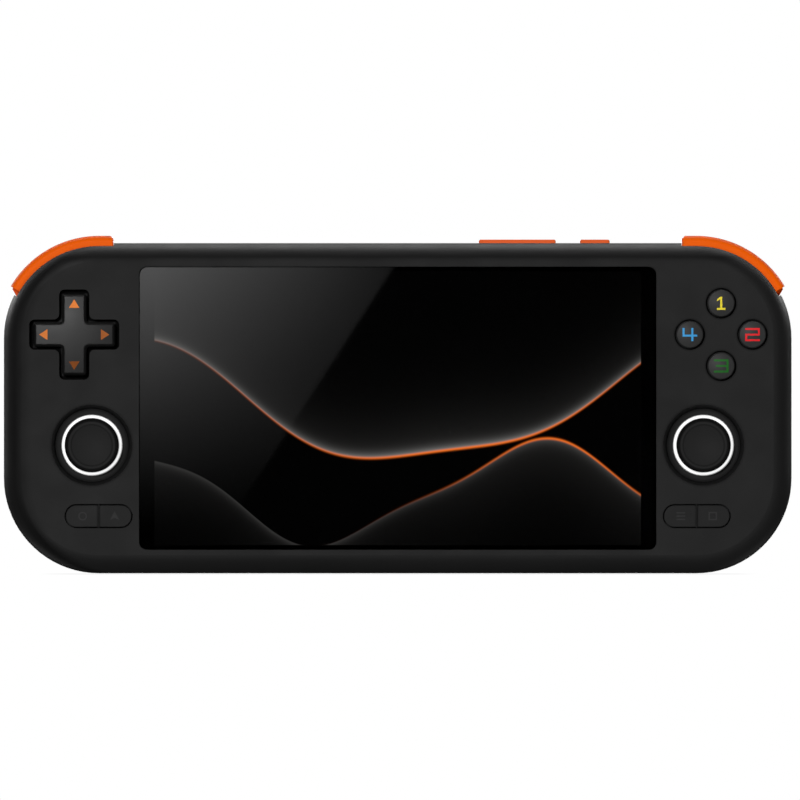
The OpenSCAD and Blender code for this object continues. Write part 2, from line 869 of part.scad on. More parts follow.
// A stamped plate with relief windows, held to the front shell's pads
module mid_frame() {
    window_gap = 6;
    columns = 4;
    relief_w = (frame_w - 2 * window_gap) / columns - window_gap;
    color(steel) upright() translate([0, body_h / 2, frame_z]) linear_extrude(frame_t) difference() {
        rounded_rect(frame_w, frame_h, glass_r);
        for (i = [0:columns - 1]) translate([(i - (columns - 1) / 2) * (relief_w + window_gap), 0])
            rounded_rect(relief_w, frame_h / 2, glass_r);
    }
}

// Direction pad

// A bar with sloping sides and ends, half of the pad's plus shape
module bevelled_bar(len, arm, z0, z1) {
    module flank(width) {
        polygon([
            [-width / 2, z0], [width / 2, z0], [width / 2, body_d],
            [width / 2 - cross_bevel, z1], [-width / 2 + cross_bevel, z1], [-width / 2, body_d]
        ]);
    }
    intersection() {
        rotate([90, 0, 90]) linear_extrude(2 * len, center = true) flank(arm);
        rotate([90, 0, 0]) linear_extrude(2 * len, center = true) flank(len);
    }
}

// Fills one inner corner of the plus shape with a hollow rounding that widens with the sloping sides
module cross_corner() {
    at = cross_arm / 2 + cross_fillet;
    foot_r = cross_fillet + running_fit;
    over = 1.5;
    difference() {
        block(0, at, 0, at, flange_z, cross_top_z);
        translate([at, at, 0]) rotate_extrude() polygon([
            [0, flange_z - eps], [foot_r, flange_z - eps], [foot_r, body_d],
            [foot_r + over * cross_bevel, body_d + over * cross_rise], [0, body_d + over * cross_rise]
        ]);
    }
}

// A plus shape with a domed top, on a flange that stays under the front wall
module dpad() {
    color(pad_grey) upright() on_side(-1) at_pad() difference() {
        union() {
            intersection() {
                union() {
                    for (turn = [0, 90]) rotate([0, 0, turn])
                        bevelled_bar(cross_len, cross_arm, flange_z, cross_top_z);
                    for (turn = [0:90:270]) rotate([0, 0, turn]) cross_corner();
                }
                translate([0, 0, flange_z]) linear_extrude(cross_top_z)
                    cross_outline(cross_len, cross_arm, cross_fillet, cross_fillet);
                translate([0, 0, cross_top_z - cross_crown_r]) rotate([90, 0, 0])
                    sphere(cross_crown_r, $fn = 360);
            }
            translate([0, 0, flange_z]) linear_extrude(flange_t)
                cross_outline(flange_len, flange_arm, well_corner, well_fillet);
        }
        translate([0, 0, pivot_z]) sphere(pivot_ball_r + running_fit);
    }
}

module dpad_pivot_ball() {
    color(steel) upright() on_side(-1) at_pad() translate([0, 0, pivot_z]) sphere(pivot_ball_r);
}

// A rubber mat with a contact pad under each arm and a hole for the ball
module dpad_membrane() {
    color(rubber_grey) upright() on_side(-1) at_pad() difference() {
        union() {
            rod(pad_mat_r, board_top_z, mat_top_z);
            for (p = face_places) translate(pad_contact_at * p)
                rod(pad_contact_r, mat_top_z - eps / 4, pad_top_z);
        }
        rod(pivot_ball_r + button_gap, board_top_z - eps, pad_top_z + eps);
    }
}

// Face buttons

// A round button with a domed top and a softened edge
module face_button(i) {
    r = button_d / 2;
    edge = 0.6;
    edge_z = button_top_z - button_crown_r + sqrt(pow(button_crown_r, 2) - pow(r, 2)) - 2 / 3 * edge;
    color(pad_grey) upright() at_face_button(i) {
        rotate_extrude() intersection() {
            translate([0, button_top_z - button_crown_r]) circle(button_crown_r);
            difference() {
                translate([0, button_foot_z]) square([r, button_top_z - button_foot_z]);
                translate([r - edge, edge_z]) difference() {
                    square(edge + eps);
                    circle(edge);
                }
            }
        }
        tube(button_flange_r, r - edge / 2, hung_z, front_in_z - flange_gap);
    }
}

module face_button_north() face_button(0);

module face_button_east() face_button(1);

module face_button_south() face_button(2);

module face_button_west() face_button(3);

module face_button_membrane() {
    color(rubber_grey) upright() at_pad() {
        rod(pad_mat_r, board_top_z, mat_top_z);
        for (p = face_places) translate(button_offset * p) rod(button_contact_r, board_top_z, pad_top_z);
    }
}

// Menu buttons

module menu_button(side, outer) {
    color(shell_black) upright() on_side(side) at_menu() mirror([outer ? 0 : 1, 0, 0]) {
        translate([0, 0, menu_foot_z]) linear_extrude(body_d + menu_rise - menu_foot_z) half_pill(0);
        translate([0, 0, hung_z]) linear_extrude(button_flange_t) half_pill(menu_lip);
    }
}

module left_menu_button_outer() menu_button(-1, true);

module left_menu_button_inner() menu_button(-1, false);

module right_menu_button_inner() menu_button(1, false);

module right_menu_button_outer() menu_button(1, true);

module menu_membranes() {
    color(rubber_grey) upright() both_sides() at_menu() {
        rounded_plate(menu_len, menu_h, 1, board_top_z, mat_top_z);
        for (x = [-1, 1]) translate([x * menu_len / 4, 0, 0]) rod(2, board_top_z, pad_top_z);
    }
}

// Thumbsticks

module at_pivot(side) {
    upright() on_side(side) at_stick() translate([0, 0, stick_z]) children();
}

// The box that carries both hinges of a stick, with two ears for its screws
module stick_frame(side) {
    color(steel) at_pivot(side) difference() {
        union() {
            rounded_plate(2 * frame_half, 2 * frame_half, 1, frame_base, frame_top);
            intersection() {
                rotate([0, 0, 135])
                    block(-ear_span, ear_span, -ear_d / 2, ear_d / 2, frame_top - ear_t, frame_top);
                union() {
                    at_ears() rod(ear_d / 2, frame_top - ear_t, frame_top);
                    rounded_plate(2 * ear_reach, 2 * ear_reach, 1, frame_top - ear_t, frame_top);
                }
            }
        }
        rounded_plate(2 * frame_in, 2 * frame_in, frame_in_r, frame_floor, frame_top + eps);
        rod(dome_r + dome_room, dome_seat, frame_top + eps);
        rotate([0, 90, 0]) cylinder(r = bar_pin_r + running_fit, h = 4 * frame_half, center = true);
        rotate([90, 0, 0]) cylinder(r = yoke_pin_r + running_fit, h = 4 * frame_half, center = true);
        at_ears() rod(screw_hole_r, frame_top - ear_t - eps, frame_top + eps);
    }
}

// The upper bar: turns on its own pins and carries the trunnion across it
module stick_ring(side) {
    room_w = 2 * (trunnion_r + trunnion_gap);
    color(rubber_grey) at_pivot(side) difference() {
        union() {
            intersection() {
                sphere(bar_ball_r);
                cube([3 * bar_ball_r, 2 * bar_half_w, 2 * bar_half_h], center = true);
            }
            for (turn = [90, -90]) rotate([0, turn, 0]) rod(bar_pin_r, bar_ball_r - eps, stick_pin_end);
        }
        cube([room_w, 2 * trunnion_half + trunnion_gap, 4 * bar_half_h], center = true);
        rotate([90, 0, 0]) cylinder(r = trunnion_pin_r + running_fit, h = 4 * bar_half_w, center = true);
    }
}

// The lower yoke: turns across the upper bar, its slot round the lever's tail
module stick_yoke(side) {
    arm_half = 1.5;
    arm_eye_r = 0.95;
    arm_out = yoke_arm_y + yoke_arm_t;
    slot_half = 2.4;
    color(rubber_grey) at_pivot(side) difference() {
        union() {
            for (turn = [0, 180]) rotate([0, 0, turn]) {
                block(-arm_half, arm_half, yoke_arm_y, arm_out, yoke_foot, 0);
                translate([0, yoke_arm_y, 0]) rotate([-90, 0, 0]) rod(arm_eye_r, 0, yoke_arm_t);
                rotate([-90, 0, 0]) rod(yoke_pin_r, yoke_arm_y, stick_pin_end);
            }
            block(-yoke_half_x, yoke_half_x, -arm_out, arm_out, yoke_foot, yoke_top);
        }
        cube([2 * (lever_r + slot_gap), 2 * slot_half, 4 * frame_half], center = true);
    }
}

module stick_trunnion(side) {
    color(steel) at_pivot(side) difference() {
        rotate([90, 0, 0]) {
            cylinder(r = trunnion_r, h = 2 * trunnion_half, center = true);
            cylinder(r = trunnion_pin_r, h = 2 * trunnion_pin_end, center = true);
        }
        cylinder(r = lever_r + running_fit, h = 4 * trunnion_r, center = true);
    }
}

module stick_lever(side) {
    color(steel) at_pivot(side) rod(lever_r, tail_end, lever_top);
}

// A rubber cap with a raised rim, and the dome below it that closes the ring
module stick_cap(side) {
    edge = 0.8;
    groove_r = cap_r - 0.85;
    groove_w = 0.25;
    lever_press = 0.02;
    stem_r = 3.2;
    stem_foot = dome_r - dome_t - 0.2;
    dish_depth = 0.9;
    dish_ball = (pow(dish_r, 2) + pow(dish_depth, 2)) / (2 * dish_depth);
    color(shell_black) at_pivot(side) difference() {
        union() {
            rotate_extrude() {
                difference() {
                    translate([0, cap_under]) square([cap_r, cap_t]);
                    translate([cap_r - edge, cap_top - edge]) difference() {
                        square(edge + eps);
                        circle(edge);
                    }
                    translate([cap_r - edge, cap_under + edge]) mirror([0, 1]) difference() {
                        square(edge + eps);
                        circle(edge);
                    }
                }
                translate([0, stem_foot]) square([stem_r, cap_under + eps / 2 - stem_foot]);
                intersection() {
                    difference() {
                        circle(dome_r);
                        circle(dome_r - dome_t);
                    }
                    translate([0, dome_edge]) square(dome_r);
                }
            }
        }
        translate([0, 0, cap_top - dish_depth + dish_ball]) rotate([90, 0, 0]) sphere(dish_ball);
        tube(groove_r + groove_w, groove_r, cap_top - groove_w, cap_top + eps);
        rod(lever_r + lever_press, 0, lever_top);
    }
}

module light_ring(side) {
    color(light_white) upright() on_side(side) at_stick() {
        top = well_floor_z + ring_proud;
        under = well_floor_z - well_floor_t;
        ring_lap = 0.2;
        tube(ring_r, ring_bore_r, under - ring_flange_t, top);
        tube(ring_r + ring_flange_w, ring_r - ring_lap, under - ring_flange_t, under);
    }
}

module left_stick_frame() stick_frame(-1);

module left_stick_ring() stick_ring(-1);

module left_stick_yoke() stick_yoke(-1);

module left_stick_trunnion() stick_trunnion(-1);

module left_stick_lever() stick_lever(-1);

module left_stick_cap() stick_cap(-1);

module left_light_ring() light_ring(-1);

module right_stick_frame() stick_frame(1);

module right_stick_ring() stick_ring(1);

module right_stick_yoke() stick_yoke(1);

module right_stick_trunnion() stick_trunnion(1);

module right_stick_lever() stick_lever(1);

module right_stick_cap() stick_cap(1);

module right_light_ring() light_ring(1);

// Shoulder buttons and triggers

// Rounds the outer corner at the end of a shoulder button, seen from the front
module end_rounding(r) {
    translate([0, shoulder_r, shoulder_z0 - eps]) linear_extrude(body_d) difference() {
        translate([-eps, -r]) square(r + eps);
        translate([r, -r]) circle(r);
    }
}

module shoulder_button(side) {
    edge = 1.6;
    end_r = 0.7;
    lug_y0 = shoulder_pin[1] - lug_r;
    lug_y1 = shoulder_pin[1] + lug_r;
    color(orange) upright() on_side(side) at_corner() difference() {
        union() {
            intersection() {
                corner_band(shoulder_run) difference() {
                    band_section(shoulder_in_r, shoulder_r, shoulder_z0, shoulder_z1);
                    translate([shoulder_r - edge, shoulder_z1 - edge]) difference() {
                        square(edge + eps);
                        circle(edge);
                    }
                }
                above_ray(shoulder_end, -shoulder_run, shoulder_z0, shoulder_z1);
            }
            translate(shoulder_pin) rod(lug_r, shoulder_z0, shoulder_z1);
            block(shoulder_pin[0], 0, lug_y0, lug_y1, shoulder_z0, shoulder_z1);
        }
        translate([-shoulder_run, 0, 0]) end_rounding(end_r);
        block(-corner_r, end_gap, 0, wall_in_r + end_gap, 0, parting_z + ledge_t + ledge_gap);
        translate(shoulder_pin) rod(pin_r + running_fit, 0, body_d);
    }
}

module left_shoulder_button() shoulder_button(-1);

module right_shoulder_button() shoulder_button(1);

// A curved skin with a closed rear face, hung on a barrel inside the bay
module trigger(side) {
    edge = 1.4;
    arm_half = 1;
    arm_out = trigger_in_r + trigger_skin / 3;
    color(deep_orange) upright() on_side(side) difference() {
        union() {
            at_corner() intersection() {
                corner_band(corner_r) difference() {
                    union() {
                        band_section(trigger_in_r, trigger_r, trigger_z0, trigger_z1);
                        band_section(trigger_plate_in_r, trigger_r, trigger_z0, trigger_z0 + trigger_plate_t);
                    }
                    translate([trigger_r - edge, trigger_z0 + edge]) mirror([0, 1]) difference() {
                        square(edge + eps);
                        circle(edge);
                    }
                }
                trigger_strip(strip_low, strip_high, trigger_z0 - eps, trigger_z1 + eps);
            }
            at_trigger() {
                translate([hinge_u, 0, hinge_z]) rotate([-90, 0, 0]) rod(barrel_r, -barrel_half, barrel_end);
                block(hinge_u, arm_out, -barrel_half, barrel_end, hinge_z - arm_half, hinge_z + arm_half);
            }
        }
        at_trigger() translate([hinge_u, 0, hinge_z]) rotate([90, 0, 0])
            cylinder(r = pin_r + running_fit, h = 2 * corner_r, center = true);
    }
}

module left_trigger() trigger(-1);

module right_trigger() trigger(1);

module shoulder_pins() {
    color(steel) upright() both_sides() at_corner() translate(shoulder_pin) rod(pin_r, parting_z, pin_top_z);
}

module trigger_pins() {
    half = barrel_half + hinge_lug_gap + hinge_lug_t;
    color(steel) upright() both_sides() at_trigger() translate([hinge_u, 0, hinge_z]) rotate([90, 0, 0])
        cylinder(r = pin_r, h = 2 * half, center = true);
}

// A coil on each trigger's pin, with a leg that rests on the bay's wall
module trigger_springs() {
    leg_v = barrel_half - 0.9;
    leg_z = hinge_z - spring_r;
    color(steel) upright() both_sides() at_trigger() {
        translate([hinge_u, 0, hinge_z]) rotate([-90, 0, 0])
            tube(spring_r, pin_r + running_fit, barrel_end + 2 * spring_play, barrel_half + spring_play);
        difference() {
            block(bay_r - wall, hinge_u, leg_v, leg_v + spring_wire, leg_z, leg_z + spring_wire);
            rod(bay_r, 0, parting_z);
        }
    }
}

module shoulder_switches() {
    color(rubber_grey) upright() both_sides() at_corner() rotate([0, 0, switch_angle]) difference() {
        block(bay_r - eps, bay_r + switch_t, -switch_w / 2, switch_w / 2, switch_z0, shoulder_z1 - end_gap);
        rod(bay_r, parting_z, body_d, $fn = 360);
    }
}

// Top keys

// A key with round top corners, on a flange that stays under the top wall
module top_key(x, len) {
    grow = 2 * key_flange;
    top = body_h + key_rise;
    height = top - key_back_y + 2 * key_top_r;
    intersection() {
        key_prism(x, len, key_w, key_edge_r - button_gap, key_back_y, top);
        translate([x, top - height / 2, 0]) linear_extrude(body_d) rounded_rect(len, height, key_top_r);
    }
    key_prism(x, len + grow, key_w + grow, key_edge_r, key_flange_y, key_flange_y + key_flange_t);
}

module power_button() {
    color(orange) upright() top_key(power_x, power_len);
}

module volume_rocker() {
    color(orange) upright() top_key(volume_x, volume_len);
}

// A strip board on the rear wall, with three switches and the rocker's fulcrum
module top_key_switches() {
    board_y1 = key_board_y + board_t;
    board_x0 = volume_x - volume_len / 2;
    board_x1 = power_x + power_len / 2;
    half = 1.5;
    color(board_green) upright() {
        block(board_x0, board_x1, key_board_y, board_y1, rear_in_z, key_z + key_w);
        for (x = [volume_x - volume_len / 3, volume_x + volume_len / 3, power_x]) translate([x, 0, key_z])
            block(-switch_w / 2, switch_w / 2, board_y1, key_back_y - key_play, -half, half);
        translate([volume_x, 0, key_z])
            block(-rocker_nub_r, rocker_nub_r, board_y1, key_back_y - rocker_play, -half, half);
    }
}

// Boards, battery and cooling

// The processor under the heat pipe, two memory chips beside it and a row of coils below
module main_board() {
    top = main_z + board_t;
    chip_half = 8;
    memory_at = [12, 26];
    memory_w = 10;
    memory_half = 6;
    memory_t = 1.2;
    coils = [-8, 28, -14, -10];
    coil_t = 0.9;
    color(board_green) upright() difference() {
        union() {
            block(main_x0, main_x1, main_y0, main_y1, main_z, top);
            translate(chip_at) {
                block(-chip_half, chip_half, -chip_half, chip_half, top, top + chip_t);
                for (x = memory_at) block(x, x + memory_w, -memory_half, memory_half, top, top + memory_t);
                block(coils[0], coils[1], coils[2], coils[3], top, top + coil_t);
            }
        }
        for (p = main_posts) translate(p) rod(screw_hole_r, main_z - eps, top + eps);
    }
}

module io_board() {
    top = io_board_z + board_t;
    half = jack_body_w / 2 + 0.3;
    bridge = 0.4;
    color(board_green) upright() difference() {
        block(io_x0, io_x1, io_y0, io_y1, io_board_z, top);
        block(-jack_x - half, -jack_x + half, 0, io_y1 - bridge, io_board_z - eps, top + eps);
        for (p = io_posts) translate(p) rod(screw_hole_r, io_board_z - eps, top + eps);
    }
}

// Runs from the menu buttons round the stick's frame to the pad or face buttons
module control_board(side) {
    wall_clear = 0.6;
    post_clear = 0.8;
    bay_clear = 0.5;
    bay_low = 6;
    inner_x = pad_x - 16.3;
    foot = menu_y - 6.5;
    head = pad_y + 11;
    stick_right = 11.8;
    stick_low = -12;
    stick_high = 13;
    color(board_green) upright() on_side(side) difference() {
        intersection() {
            housing(wall + wall_clear, board_z, board_top_z, 0, 0);
            block(inner_x, half_w, foot, head, board_z, board_top_z);
        }
        at_stick() block(-corner_r, stick_right, stick_low, stick_high, board_z - eps, board_top_z + eps);
        for (p = case_posts) translate(p) rod(case_post_r + post_clear, board_z - eps, board_top_z + eps);
        for (p = board_posts) translate(p) rod(screw_hole_r, board_z - eps, board_top_z + eps);
        at_corner() difference() {
            block(-corner_r, 2 * corner_r, -bay_low, corner_r, board_z - eps, board_top_z + eps);
            rod(bay_r - wall - bay_clear, board_z - 2 * eps, board_top_z + 2 * eps);
        }
    }
}

module left_control_board() control_board(-1);

module right_control_board() control_board(1);

module battery() {
    color(rubber_grey) upright() translate([battery_x0 + battery_w / 2, battery_y0 + battery_h / 2, 0])
        rounded_plate(battery_w, battery_h, 2, rear_in_z, rear_in_z + battery_t);
}

// An open box: air comes in through the rear wall and leaves at the fins
module fan_housing() {
    half = fan_side / 2;
    color(shell_black) upright() translate([-fan_x, fan_y, 0]) {
        difference() {
            block(-half, half, -half, half, rear_in_z, fan_z1);
            rod(rotor_r + fan_wall, rear_in_z - eps, fan_z1 - fan_wall);
            block(2 - half, half - 2, 0, half + eps, rear_in_z + fan_wall, fan_z1 - fan_wall);
        }
        rod(axle_r, rear_in_z + 2, fan_z1 - fan_wall / 2);
    }
}

module fan_rotor() {
    z0 = rear_in_z + fan_wall;
    z1 = fan_z1 - fan_wall - 0.5;
    sweep = 35;
    blade_t = 0.6;
    color(shell_black) upright() translate([-fan_x, fan_y, z0]) linear_extrude(z1 - z0) difference() {
        union() {
            circle(rotor_hub_r);
            for (i = [0:fan_blades - 1]) rotate(360 * (i + 0.5) / fan_blades) translate([rotor_hub_r - 1, 0])
                rotate(sweep) translate([0, -blade_t / 2]) square([rotor_r - rotor_hub_r, blade_t]);
        }
        circle(axle_r + running_fit);
    }
}

module heat_sink() {
    fins = 17;
    fin_t = 0.4;
    cover_t = 0.5;
    pitch = (fin_x1 - fin_x0 - fin_t) / (fins - 1);
    color(steel) upright() {
        for (z = [fin_z0, fin_z1 - cover_t]) block(fin_x0, fin_x1, fin_y0, fin_y1, z, z + cover_t);
        for (i = [0:fins - 1]) translate([fin_x0 + i * pitch, 0, 0])
            block(0, fin_t, fin_y0, fin_y1, fin_z0, fin_z1);
    }
}

// A flat pipe from the chip to the fins, round at its ends and bends
module heat_pipe() {
    pipe_w = 6;
    end_in = 4;
    fin_line = (fin_y0 + fin_y1) / 2;
    route = [
        [fin_x0 + end_in, fin_line], [end_in, fin_line],
        [chip_at[0] - end_in, chip_at[1]], [chip_at[0] + end_in, chip_at[1]]
    ];
    color(copper) upright() translate([0, 0, fin_z1]) linear_extrude(pipe_t) {
        for (p = route) translate(p) circle(pipe_w / 2);
        for (i = [0:len(route) - 2]) {
            step = route[i + 1] - route[i];
            translate(route[i]) rotate(atan2(step[1], step[0])) translate([0, -pipe_w / 2])
                square([norm(step), pipe_w]);
        }
    }
}

// Sound, feel and ports

module speaker(side) {
    mouth_w = speaker_w - 3;
    mouth_h = 2.4;
    mouth_r = 1.1;
    mouth_z = port_z - 1.4;
    color(shell_black) upright() on_side(side) difference() {
        block(speaker_x0, speaker_x0 + speaker_w, speaker_y0, speaker_y0 + speaker_h, rear_in_z, speaker_z1);
        translate([speaker_x0 + speaker_w / 2, speaker_y0 + eps, mouth_z]) rotate([90, 0, 0])
            linear_extrude(2 * eps) rounded_rect(mouth_w, mouth_h, mouth_r);
    }
}

module left_speaker() speaker(-1);

module right_speaker() speaker(1);

module rumble_motors() {
    color(steel) upright() both_sides() translate(motor_at) rod(motor_r, motor_z, motor_z + motor_t);
}

// A rounded steel mouth with the contact tongue inside
module usb_port() {
    end_r = usb_h / 2 - 0.01;
    thin = 2 * usb_shell_t;
    tongue = [6.6, 0.7, usb_len - 0.8];
    color(steel) upright() translate([0, usb_y + usb_len, port_z]) rotate([90, 0, 0]) {
        difference() {
            linear_extrude(usb_len) rounded_rect(usb_w, usb_h, end_r);
            translate([0, 0, 1]) linear_extrude(usb_len)
                rounded_rect(usb_w - thin, usb_h - thin, end_r - usb_shell_t);
        }
        translate([0, 0, tongue[2] / 2]) cube(tongue, center = true);
    }
}

module card_socket() {
    depth = 10;
    half = card_socket_w / 2;
    color(steel) upright() translate([-card_x, 0, 0]) difference() {
        block(-half, half, io_y0, io_y0 + depth, io_board_z + board_t, port_z + usb_h / 2);
        translate([0, io_y0 + depth - 1, port_z]) rotate([90, 0, 0]) linear_extrude(depth)
            rounded_rect(card_w, card_slot_h, card_slot_r);
    }
}

module headphone_jack() {
    half = jack_body_w / 2;
    half_t = 3;
    collar_sink = 0.3;
    color(shell_black) upright() translate([-jack_x, 0, port_z]) difference() {
        union() {
            block(-half, half, wall + seat_fit, jack_len, -half_t, half_t);
            translate([0, wall + eps, 0]) rotate([90, 0, 0])
                cylinder(r = jack_collar_r, h = wall + eps - collar_sink);
        }
        translate([0, jack_len - 1, 0]) rotate([90, 0, 0]) cylinder(r = jack_d / 2, h = jack_len + eps);
    }
}

// Fasteners

// A screw whose head rests at the origin and whose shank runs along +z
module screw(shank) {
    thread_play = 0.02;
    rod(screw_head_r, -screw_head_t, 0);
    rod(pilot_r - thread_play, -screw_head_t / 2, shank);
}

module case_screws() {
    color(steel) upright() both_sides() for (p = case_posts) translate([p[0], p[1], case_head_z])
        screw(parting_z + 2);
}

module board_screws() {
    bite = 4;
    ear_bite = 2.4;
    main_bite = 2.8;
    io_bite = 1.6;
    color(steel) upright() {
        both_sides() {
            for (p = board_posts) translate([p[0], p[1], board_z]) screw(board_t + bite);
            at_stick() at_ears() translate([0, 0, stick_z + frame_top - ear_t]) screw(ear_t + ear_bite);
        }
        for (p = main_posts) translate([p[0], p[1], main_z + board_t]) mirror([0, 0, 1])
            screw(board_t + main_bite);
        for (p = io_posts) translate([p[0], p[1], io_board_z + board_t]) mirror([0, 0, 1])
            screw(board_t + io_bite);
    }
}

front_shell();
rear_shell();
screen_glass();
display_panel();
mid_frame();
dpad();
dpad_pivot_ball();
dpad_membrane();
face_button_north();
face_button_east();
face_button_south();
face_button_west();
face_button_membrane();
left_menu_button_outer();
left_menu_button_inner();
right_menu_button_inner();
right_menu_button_outer();
menu_membranes();
left_stick_frame();
left_stick_ring();
left_stick_yoke();
left_stick_trunnion();
left_stick_lever();
left_stick_cap();
left_light_ring();
right_stick_frame();
right_stick_ring();
right_stick_yoke();
right_stick_trunnion();
right_stick_lever();
right_stick_cap();
right_light_ring();
left_shoulder_button();
right_shoulder_button();
left_trigger();
right_trigger();
shoulder_pins();
trigger_pins();
trigger_springs();
shoulder_switches();
power_button();
volume_rocker();
top_key_switches();
main_board();
io_board();
left_control_board();
right_control_board();
battery();
fan_housing();
fan_rotor();
heat_sink();
heat_pipe();
left_speaker();
right_speaker();
rumble_motors();
usb_port();
card_socket();
headphone_jack();
case_screws();
board_screws();
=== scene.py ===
import math

import bmesh
import bpy
from mathutils import Matrix, Vector


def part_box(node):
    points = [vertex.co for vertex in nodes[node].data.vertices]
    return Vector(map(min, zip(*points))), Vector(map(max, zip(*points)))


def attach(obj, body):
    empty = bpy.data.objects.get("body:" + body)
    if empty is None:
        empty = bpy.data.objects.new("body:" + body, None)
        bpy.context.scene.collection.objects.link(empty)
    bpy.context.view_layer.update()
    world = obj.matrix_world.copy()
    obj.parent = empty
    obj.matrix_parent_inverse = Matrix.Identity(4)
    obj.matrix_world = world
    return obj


mm = 0.001
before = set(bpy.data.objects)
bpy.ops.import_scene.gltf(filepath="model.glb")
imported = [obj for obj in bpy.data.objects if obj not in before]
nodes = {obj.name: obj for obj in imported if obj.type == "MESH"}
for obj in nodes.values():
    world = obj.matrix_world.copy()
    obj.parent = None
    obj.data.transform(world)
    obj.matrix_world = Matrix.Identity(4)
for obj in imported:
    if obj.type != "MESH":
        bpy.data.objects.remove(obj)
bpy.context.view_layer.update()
print("frame loaded:", len(nodes), "nodes")

scene = bpy.context.scene
scene.view_settings.view_transform = "Standard"
scene.view_settings.look = "None"


# places: the face frame has x right, y up from the foot and z towards the player, in mm

def facePoint(x, y, z):
    return Vector((x, -z, y)) * mm


def faceBox(name):
    low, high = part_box(name)
    return Vector((low.x, low.z, -high.y)) / mm, Vector((high.x, high.z, -low.y)) / mm


def faceMiddle(name):
    low, high = faceBox(name)
    return (low + high) / 2


def menuBox(side):  # lowest and highest corner of a pair of menu buttons
    lows, highs = zip(*(faceBox(f"{side}_menu_button_{place}") for place in menuPlaces))
    return Vector(tuple(map(min, *lows))), Vector(tuple(map(max, *highs)))


sides = ("left", "right")
menuPlaces = ("outer", "inner")
faceButtons = [f"face_button_{way}" for way in ("north", "east", "south", "west")]
faceZ = faceBox("front_shell")[1].z
glassLow, glassHigh = faceBox("screen_glass")
glassMiddle = (glassLow + glassHigh) / 2
padMiddle = faceMiddle("dpad")
stickMiddle = faceMiddle("right_stick_cap")


# shader tools

def linear(r, g, b):  # screen colour 0..255 to the shader's own scale
    shares = (r / 255, g / 255, b / 255)
    return tuple(c / 12.92 if c <= 0.04045 else ((c + 0.055) / 1.055) ** 2.4 for c in shares) + (1.0,)


def scaled(colour, share):
    return tuple(min(1.0, c * share) for c in colour[:3]) + (1.0,)


def emptyTree(owner):  # of a material or the world
    owner.use_nodes = True
    owner.node_tree.nodes.clear()
    return owner.node_tree


def add(t, kind, **settings):
    n = t.nodes.new(kind)
    for name, value in settings.items():
        setattr(n, name, value)
    return n


def feed(t, socket, value):  # a plain value is set on the socket, an output is linked to it
    if isinstance(value, (int, float, tuple)):
        socket.default_value = value
    else:
        t.links.new(value, socket)


def calc(t, operation, *values, clamp=False):
    n = add(t, "ShaderNodeMath", operation=operation, use_clamp=clamp)
    for socket, value in zip(n.inputs, values):
        feed(t, socket, value)
    return n.outputs[0]


def mixColour(t, factor, a, b):
    n = add(t, "ShaderNodeMix", data_type="RGBA")
    for i, value in ((0, factor), (6, a), (7, b)):
        feed(t, n.inputs[i], value)
    return n.outputs[2]


def vector(t, *values):
    n = add(t, "ShaderNodeCombineXYZ")
    for socket, value in zip(n.inputs, values):
        feed(t, socket, value)
    return n.outputs[0]


def objectPlaces(t):
    return add(t, "ShaderNodeTexCoord").outputs["Object"]


def mapped(t, setting, value):  # places turned or stretched
    n = add(t, "ShaderNodeMapping")
    n.inputs[setting].default_value = value
    feed(t, n.inputs["Vector"], objectPlaces(t))
    return n.outputs[0]


def facePlaces(t):  # x, y and z of the face frame, in mm
    split = add(t, "ShaderNodeSeparateXYZ")
    feed(t, split.inputs[0], objectPlaces(t))
    x, depth, y = split.outputs
    return [calc(t, "MULTIPLY", place, way / mm) for place, way in ((x, 1), (y, 1), (depth, -1))]


def noise(t, grain, detail=2.0, rough=0.5, places=None):  # grain in mm
    n = add(t, "ShaderNodeTexNoise")
    n.inputs["Scale"].default_value = 1 / (grain * mm)
    n.inputs["Detail"].default_value = detail
    n.inputs["Roughness"].default_value = rough
    feed(t, n.inputs["Vector"], objectPlaces(t) if places is None else places)
    return n.outputs["Fac"]


def spread(t, value, low, high, start=0.3, end=0.7):  # a value between start and end laid over low..high
    n = add(t, "ShaderNodeMapRange")
    for name, number in (("From Min", start), ("From Max", end), ("To Min", low), ("To Max", high)):
        n.inputs[name].default_value = number
    feed(t, n.inputs["Value"], value)
    return n.outputs["Result"]


def steps(t, value, stops):  # a level at each stop, smooth between them
    reach = stops[-1][0]
    n = add(t, "ShaderNodeValToRGB")
    ramp = n.color_ramp
    ramp.interpolation = "EASE"
    ramp.elements.remove(ramp.elements[1])
    for i, (place, level) in enumerate(stops):
        stop = ramp.elements.new(place / reach) if i else ramp.elements[0]
        stop.position = place / reach
        stop.color = (level, level, level, 1)
    feed(t, n.inputs[0], calc(t, "DIVIDE", value, reach))
    return n.outputs[0]


def apart(t, a, b):
    return calc(t, "ABSOLUTE", calc(t, "SUBTRACT", a, b))


def distance(t, across, along):
    squares = [calc(t, "MULTIPLY", side, side) for side in (across, along)]
    return calc(t, "SQRT", calc(t, "ADD", *squares))


def fromAxis(t, middle, mirrored=True):  # from an axis through the face, or from its mirror image
    x, y = facePlaces(t)[:2]
    across = calc(t, "SUBTRACT", calc(t, "ABSOLUTE", x) if mirrored else x, middle.x)
    return distance(t, across, calc(t, "SUBTRACT", y, middle.y))


def bump(t, height, depth, under=None):  # depth in mm
    n = add(t, "ShaderNodeBump")
    n.inputs["Distance"].default_value = depth * mm
    feed(t, n.inputs["Height"], height)
    if under is not None:
        feed(t, n.inputs["Normal"], under)
    return n.outputs["Normal"]


def softEdge(t, radius, samples=6):  # rounds sharp edges in the shading, radius in mm
    n = add(t, "ShaderNodeBevel", samples=samples)
    n.inputs["Radius"].default_value = radius * mm
    return n.outputs["Normal"]


def showSurface(t, shader):
    feed(t, add(t, "ShaderNodeOutputMaterial").inputs["Surface"], shader.outputs[0])


